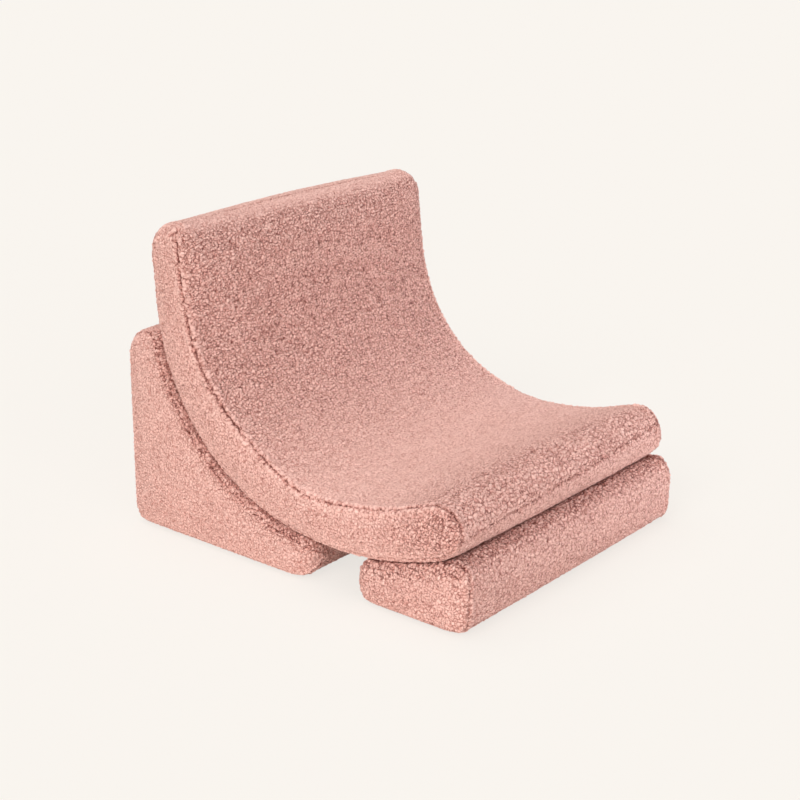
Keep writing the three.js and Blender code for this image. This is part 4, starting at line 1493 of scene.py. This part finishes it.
def base_panel(body):
    """One panel with its hem, dots and stitches."""
    node = body + "_base_panel"
    low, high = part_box(node)
    zip_low, zip_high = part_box(body + "_zip_coil")
    zip_middle = (zip_low.y + zip_high.y) / 2
    panel = merged_copy(node, body + "_underside")
    select_faces(panel, faces_down)
    bpy.ops.transform.translate(value=(0, 0, DOT_HEIGHT))
    bpy.ops.mesh.inset(thickness=HEM_WIDTH, depth=-HEM_STEP)
    done()
    rim = low.z + DOT_HEIGHT
    bevel_edges(panel, lambda a, b: max(a.z, b.z) < rim + 0.1 * MM, RIM_ROUNDING, 2)
    panel.data.materials.append(base_cloth)
    top = rim + HEM_STEP + DOT_SUNK
    pieces = [panel]
    for near, far in ((low.y, zip_middle), (zip_middle, high.y)):
        pieces += dot_field(
            low.x + DOT_MARGIN, high.x - DOT_MARGIN, near + DOT_MARGIN, far - DOT_MARGIN, top
        )
    pieces += stitched_rectangle(
        low.x + HEM_STITCH_IN, high.x - HEM_STITCH_IN,
        low.y + HEM_STITCH_IN, high.y - HEM_STITCH_IN,
        PANEL_CORNER, rim,
    )
    for side in (-1, 1):
        row = zip_middle + side * (ZIP_SLOT_HALF_WIDTH + SLOT_STITCH_OUT)
        pieces.append(stitch_row((-ZIP_SLOT_HALF_LENGTH, row, rim), (ZIP_SLOT_HALF_LENGTH, row, rim)))
    panel = joined(body + "_underside", pieces)
    hand_over(panel, body, node)
    print(panel.name, "has", len(panel.data.polygons), "faces")


for body in ("rear_wedge", "front_block"):
    base_panel(body)

# %% [markdown]
# A closed nylon zip is two coils whose turns lie between each other, sewn to their tapes over a cord.
# From outside each turn is a short rounded bar. So one bar is a bevelled box, slanted a little, and
# two arrays of it, shifted by half a step, mesh along the middle line. A stop closes either end.

# %% Zips
TURN_PITCH = 1.5 * MM
TURN_SLANT = math.radians(12)
TURN_SIZE = (0.78 * MM, 2.9 * MM)
TURN_OUT = 1 * MM
TURN_ROUNDING = 0.3 * MM
CORD_RADIUS = 0.5 * MM
CORD_OUT = 1.9 * MM
STOP_LENGTH = 2.6 * MM
STOP_INSIDE = 0.4 * MM
STOP_ROUNDING = 0.35 * MM


def zip_turns(body):
    """The two closed coils of a zip, with their cords and stops."""
    node = body + "_zip_coil"
    low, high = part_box(node)
    middle = (low.y + high.y) / 2
    height = high.z - low.z
    level = (low.z + high.z) / 2
    count = int((high.x - low.x - 2 * STOP_LENGTH) / TURN_PITCH) - 1
    start = -(count - 1) * TURN_PITCH / 2
    pieces = []
    for side in (-1, 1):
        turn = block_of((*TURN_SIZE, height), (0, 0, 0))
        bevel_edges(turn, lambda a, b: abs(a.y - b.y) > TURN_SIZE[1] / 2, TURN_ROUNDING, 1)
        turn.rotation_euler.z = side * TURN_SLANT
        turn.location = (start + (side + 1) * TURN_PITCH / 4, middle + side * TURN_OUT, level)
        turn.data.materials.append(zip_nylon)
        pieces.append(repeat(turn, count, (TURN_PITCH, 0, 0)))
        cord_length = high.x - low.x - STOP_LENGTH
        cord = rod_of(8, CORD_RADIUS, cord_length, (0, middle + side * CORD_OUT, level))
        cord.data.materials.append(thread)
        pieces.append(cord)
        stop_size = (STOP_LENGTH, high.y - low.y - STOP_INSIDE, height)
        stop = block_of(stop_size, (side * (high.x - STOP_LENGTH / 2), middle, level))
        bevel_edges(stop, every_edge, STOP_ROUNDING, 2)
        stop.data.materials.append(zip_nylon)
        pieces.append(stop)
    coil = joined(body + "_zip_turns", pieces)
    hand_over(coil, body, node)
    print(coil.name, "has", 2 * count, "turns")


for body in covers:
    zip_turns(body)

# %% [markdown]
# Beside the turns lie the two tapes that carry them, woven in the colour of the cover and sewn to it
# by a row of stitches. A tape is a thin box with softened edges, and an inset of its underside
# leaves the thicker selvedge that keeps a real tape from fraying.

# %% Zip tapes
SELVEDGE = 0.7 * MM
SELVEDGE_RISE = 0.12 * MM
TAPE_STITCH_OUT = 4.7 * MM


def zip_tape(body, side):
    """One of a zip's two tapes, with its row of stitches."""
    node = body + "_zip_tape_" + side
    low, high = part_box(node)
    zip_low, zip_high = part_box(body + "_zip_coil")
    middle = (zip_low.y + zip_high.y) / 2
    outwards = 1 if low.y > middle - MM else -1
    tape = block_of(high - low, (low + high) / 2)
    bevel_edges(tape, every_edge, SELVEDGE_RISE, 1)
    select_faces(tape, faces_down)
    bpy.ops.mesh.inset(thickness=SELVEDGE, depth=-SELVEDGE_RISE)
    done()
    tape.data.materials.append(zip_cloth)
    row = middle + outwards * TAPE_STITCH_OUT
    level = low.z + SELVEDGE_RISE
    sewing = stitch_row((zip_low.x, row, level), (zip_high.x, row, level))
    tape = joined(node + "_sewn", [tape, sewing])
    hand_over(tape, body, node)


for body in covers:
    for side in ("front", "rear"):
        zip_tape(body, side)
print("six tapes sewn")

# %% [markdown]
# The slider wraps the turns from below and has a flat pull tab folded under it, so that it never
# scratches the floor. The frame gives the wrapping channel, and its edges only need rounding. The
# tab is a thin plate: its corners are bevelled, then a hole is made by insetting both faces, taking
# the inner ones out and bridging the two openings.

# %% Sliders and their pull tabs
SLIDER_ROUNDING = 0.25 * MM
TAB_LENGTH = 11.6 * MM
TAB_WIDTH = 5 * MM
TAB_THICKNESS = 0.5 * MM
TAB_CORNER = 1.4 * MM
TAB_GAP = 0.05 * MM
HOLE_WALL = 1.3 * MM
HOLE_SHARE = 0.35


def pull_tab(place):
    """A flat plate with rounded corners and a hole near one end."""
    tab = block_of((TAB_LENGTH, TAB_WIDTH, TAB_THICKNESS), place)
    bevel_edges(tab, lambda a, b: abs(a.z - b.z) > TAB_THICKNESS / 2, TAB_CORNER, 4)
    select_faces(tab, lambda centre, normal: abs(normal.z) > SQUARELY)
    bpy.ops.mesh.inset(thickness=HOLE_WALL)
    hole_end = place[0] - TAB_LENGTH / 2 + HOLE_WALL
    bpy.ops.transform.resize(value=(HOLE_SHARE, 1, 1), center_override=(hole_end, place[1], place[2]))
    bpy.ops.mesh.delete(type="ONLY_FACE")
    bpy.ops.mesh.select_mode(type="EDGE")
    bpy.ops.mesh.select_all(action="DESELECT")
    bpy.ops.mesh.select_non_manifold(extend=False)
    bpy.ops.mesh.bridge_edge_loops()
    done()
    face_outwards(tab)
    return tab


def zip_slider(body):
    """A slider and its pull tab, which ride on a body of their own."""
    node = body + "_zip_slider"
    low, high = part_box(node)
    channel = merged_copy(node, body + "_slider")
    bevel_edges(channel, every_edge, SLIDER_ROUNDING, 2)
    tab_level = low.z - TAB_GAP - TAB_THICKNESS / 2
    tab = pull_tab(((low.x + high.x) / 2, (low.y + high.y) / 2, tab_level))
    for part in (channel, tab):
        part.data.materials.append(lacquer)
    slider = joined(body + "_slider_and_tab", [channel, tab])
    hand_over(slider, body + "_slider", node)
    print(slider.name, "reaches down to", round((tab_level - TAB_THICKNESS / 2) / MM, 2), "mm")


for body in covers:
    zip_slider(body)

# %% [markdown]
# Eight strips hold the cushions together: hooks on the wedge and the block, loops under the shell.
# A strip is a woven tape with its field of hooks or loops, sewn on all round. Each kind is modelled
# once, lying flat, and its copies are then laid along the seat's bend. A hook is a square rod, drawn
# up and spun over into a crook, and a loop is spun by half a turn and drawn down again. They stand
# wider apart than real ones, because thousands of them would weigh more than the whole chair.

# %% Hook and loop strips
STRIP_LENGTH = 120 * MM
STRIP_WIDTH = 25 * MM
STRIP_CORNER = 2.5 * MM
TAPE = 0.35 * MM
TAPE_CUTS = 6
STRIP_STITCH_IN = 1.7 * MM
FIELD_IN = 3.6 * MM
ROOT = 0.05 * MM
CROOK_STEPS = 3


def crook(turned, rod, straight, radius, turn, material):
    """A square rod that rises from the tape and is spun over; by half a turn it comes down again."""
    bpy.ops.object.select_all(action="DESELECT")
    bpy.ops.mesh.primitive_plane_add(size=rod, location=(0, 0, TAPE - ROOT))
    piece = bpy.context.object
    settle(piece)
    edit(piece, "FACE", "SELECT")
    bpy.ops.mesh.extrude_region_move(TRANSFORM_OT_translate={"value": (0, 0, straight)})
    centre = (radius, 0, TAPE - ROOT + straight)
    bpy.ops.mesh.spin(steps=CROOK_STEPS, angle=turn, center=centre, axis=(0, 1, 0))
    if turn == math.pi:
        bpy.ops.mesh.extrude_region_move(TRANSFORM_OT_translate={"value": (0, 0, -straight)})
    done()
    face_outwards(piece)
    piece.data.materials.append(material)
    piece.rotation_euler.z = turned
    settle(piece)
    return piece


def crook_field(pitch, row, turned, **shape):
    """Two arrays of crooks, one between the rows of the other, turned to either side."""
    length = STRIP_LENGTH - 2 * FIELD_IN
    rows = int((STRIP_WIDTH - 2 * FIELD_IN) / row) + 1
    fields = []
    for odd in (0, 1):
        count = int(length / pitch) + 1 - odd
        piece = crook(turned * (1 - 2 * odd), **shape)
        piece.location.x = -(count - 1) * pitch / 2
        piece.location.y = -(rows - 1) * row / 2 + odd * row
        repeat(piece, count, (pitch, 0, 0))
        fields.append(repeat(piece, (rows + 1 - odd) // 2, (0, 2 * row, 0)))
    return fields


def flat_strip(name, field):
    """A sewn tape of six narrow lengths, so that it can bend, with its field on top."""
    tape = block_of((STRIP_LENGTH, STRIP_WIDTH, TAPE), (0, 0, TAPE / 2))
    bevel_edges(tape, lambda a, b: abs(a.z - b.z) > TAPE / 2, STRIP_CORNER, 4)
    for number in range(1, TAPE_CUTS):
        cut = STRIP_WIDTH * (number / TAPE_CUTS - 0.5)
        edit(tape, "EDGE", "SELECT")
        bpy.ops.mesh.bisect(plane_co=(0, cut, 0), plane_no=(0, 1, 0))
        done()
    tape.data.materials.append(strip_cloth)
    far_x = STRIP_LENGTH / 2 - STRIP_STITCH_IN
    far_y = STRIP_WIDTH / 2 - STRIP_STITCH_IN
    sewing = stitched_rectangle(-far_x, far_x, -far_y, far_y, STRIP_CORNER, TAPE)
    strip = joined(name, [tape] + sewing + field)
    print(name, "has", len(strip.data.polygons), "faces")
    return strip


def seat_place(run, depth):
    """The way back from a run and a depth to the side view."""
    if run > MEETING_RUN:
        slope = min(run, NOSE_RUN) / SEAT_BEND_RADIUS
        place = SEAT_CENTRE + (SEAT_BEND_RADIUS + depth) * outward(slope)
        return place + max(run - NOSE_RUN, 0) * along(slope)
    slope = MEETING_SLOPE + (max(run, BACK_RUN) - MEETING_RUN) / BACK_BEND_RADIUS
    place = BACK_CENTRE + (BACK_BEND_RADIUS + depth) * outward(slope)
    return place + min(run - BACK_RUN, 0) * along(slope)


def lay_strip(flat, node, body, rising):
    """A copy of a flat strip where the frame's strip is, rising to the seat face or away from it."""
    strip = flat.copy()
    strip.data = flat.data.copy()
    strip.name = node + "_sewn"
    scene.collection.objects.link(strip)
    target = points_of(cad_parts[node])
    run, depth = seat_run_and_depth(target)
    base = depth.min() if rising > 0 else depth.max()
    stretch = (run.max() - run.min()) / STRIP_WIDTH
    points = points_of(strip)
    runs = (run.min() + run.max()) / 2 + points[:, 1] * stretch
    view = np.array([seat_place(*pair) for pair in zip(runs, base + rising * points[:, 2])])
    middle = (target[:, 0].min() + target[:, 0].max()) / 2
    move_points(strip, np.stack([points[:, 0] + middle, BACK_PLANE - view[:, 0], view[:, 1]], 1))
    face_outwards(strip)
    hand_over(strip, body, node)


hooks = flat_strip("hooks", crook_field(
    pitch=2.5 * MM, row=2.2 * MM, turned=math.radians(20),
    rod=0.24 * MM, straight=0.25 * MM, radius=0.24 * MM, turn=math.radians(205),
    material=strip_nylon,
))
loops = flat_strip("loops", crook_field(
    pitch=3 * MM, row=2.5 * MM, turned=math.radians(40),
    rod=0.22 * MM, straight=0.1 * MM, radius=0.32 * MM, turn=math.pi,
    material=loop_yarn,
))
for side in ("left", "right"):
    for body in ("rear_wedge", "front_block"):
        lay_strip(hooks, body + "_hook_strip_" + side, body, -1)
    for end in ("front", "rear"):
        lay_strip(loops, "seat_shell_loop_strip_" + end + "_" + side, "seat_shell", 1)
for pattern in (hooks, loops):
    bpy.data.objects.remove(pattern)
print("eight strips laid")

# %% [markdown]
# The dressed chair is measured once more. Swelling and pile may stand a few millimetres out of the
# frame's box, and no more, so how much each side grew is printed.

# %% Sizes and the end
visual_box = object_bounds()
for axis in range(3):
    grown = (visual_box[1][axis] - visual_box[0][axis]) - (cad_box[1][axis] - cad_box[0][axis])
    print("XYZ"[axis], "grew by", round(grown / MM, 1), "mm")
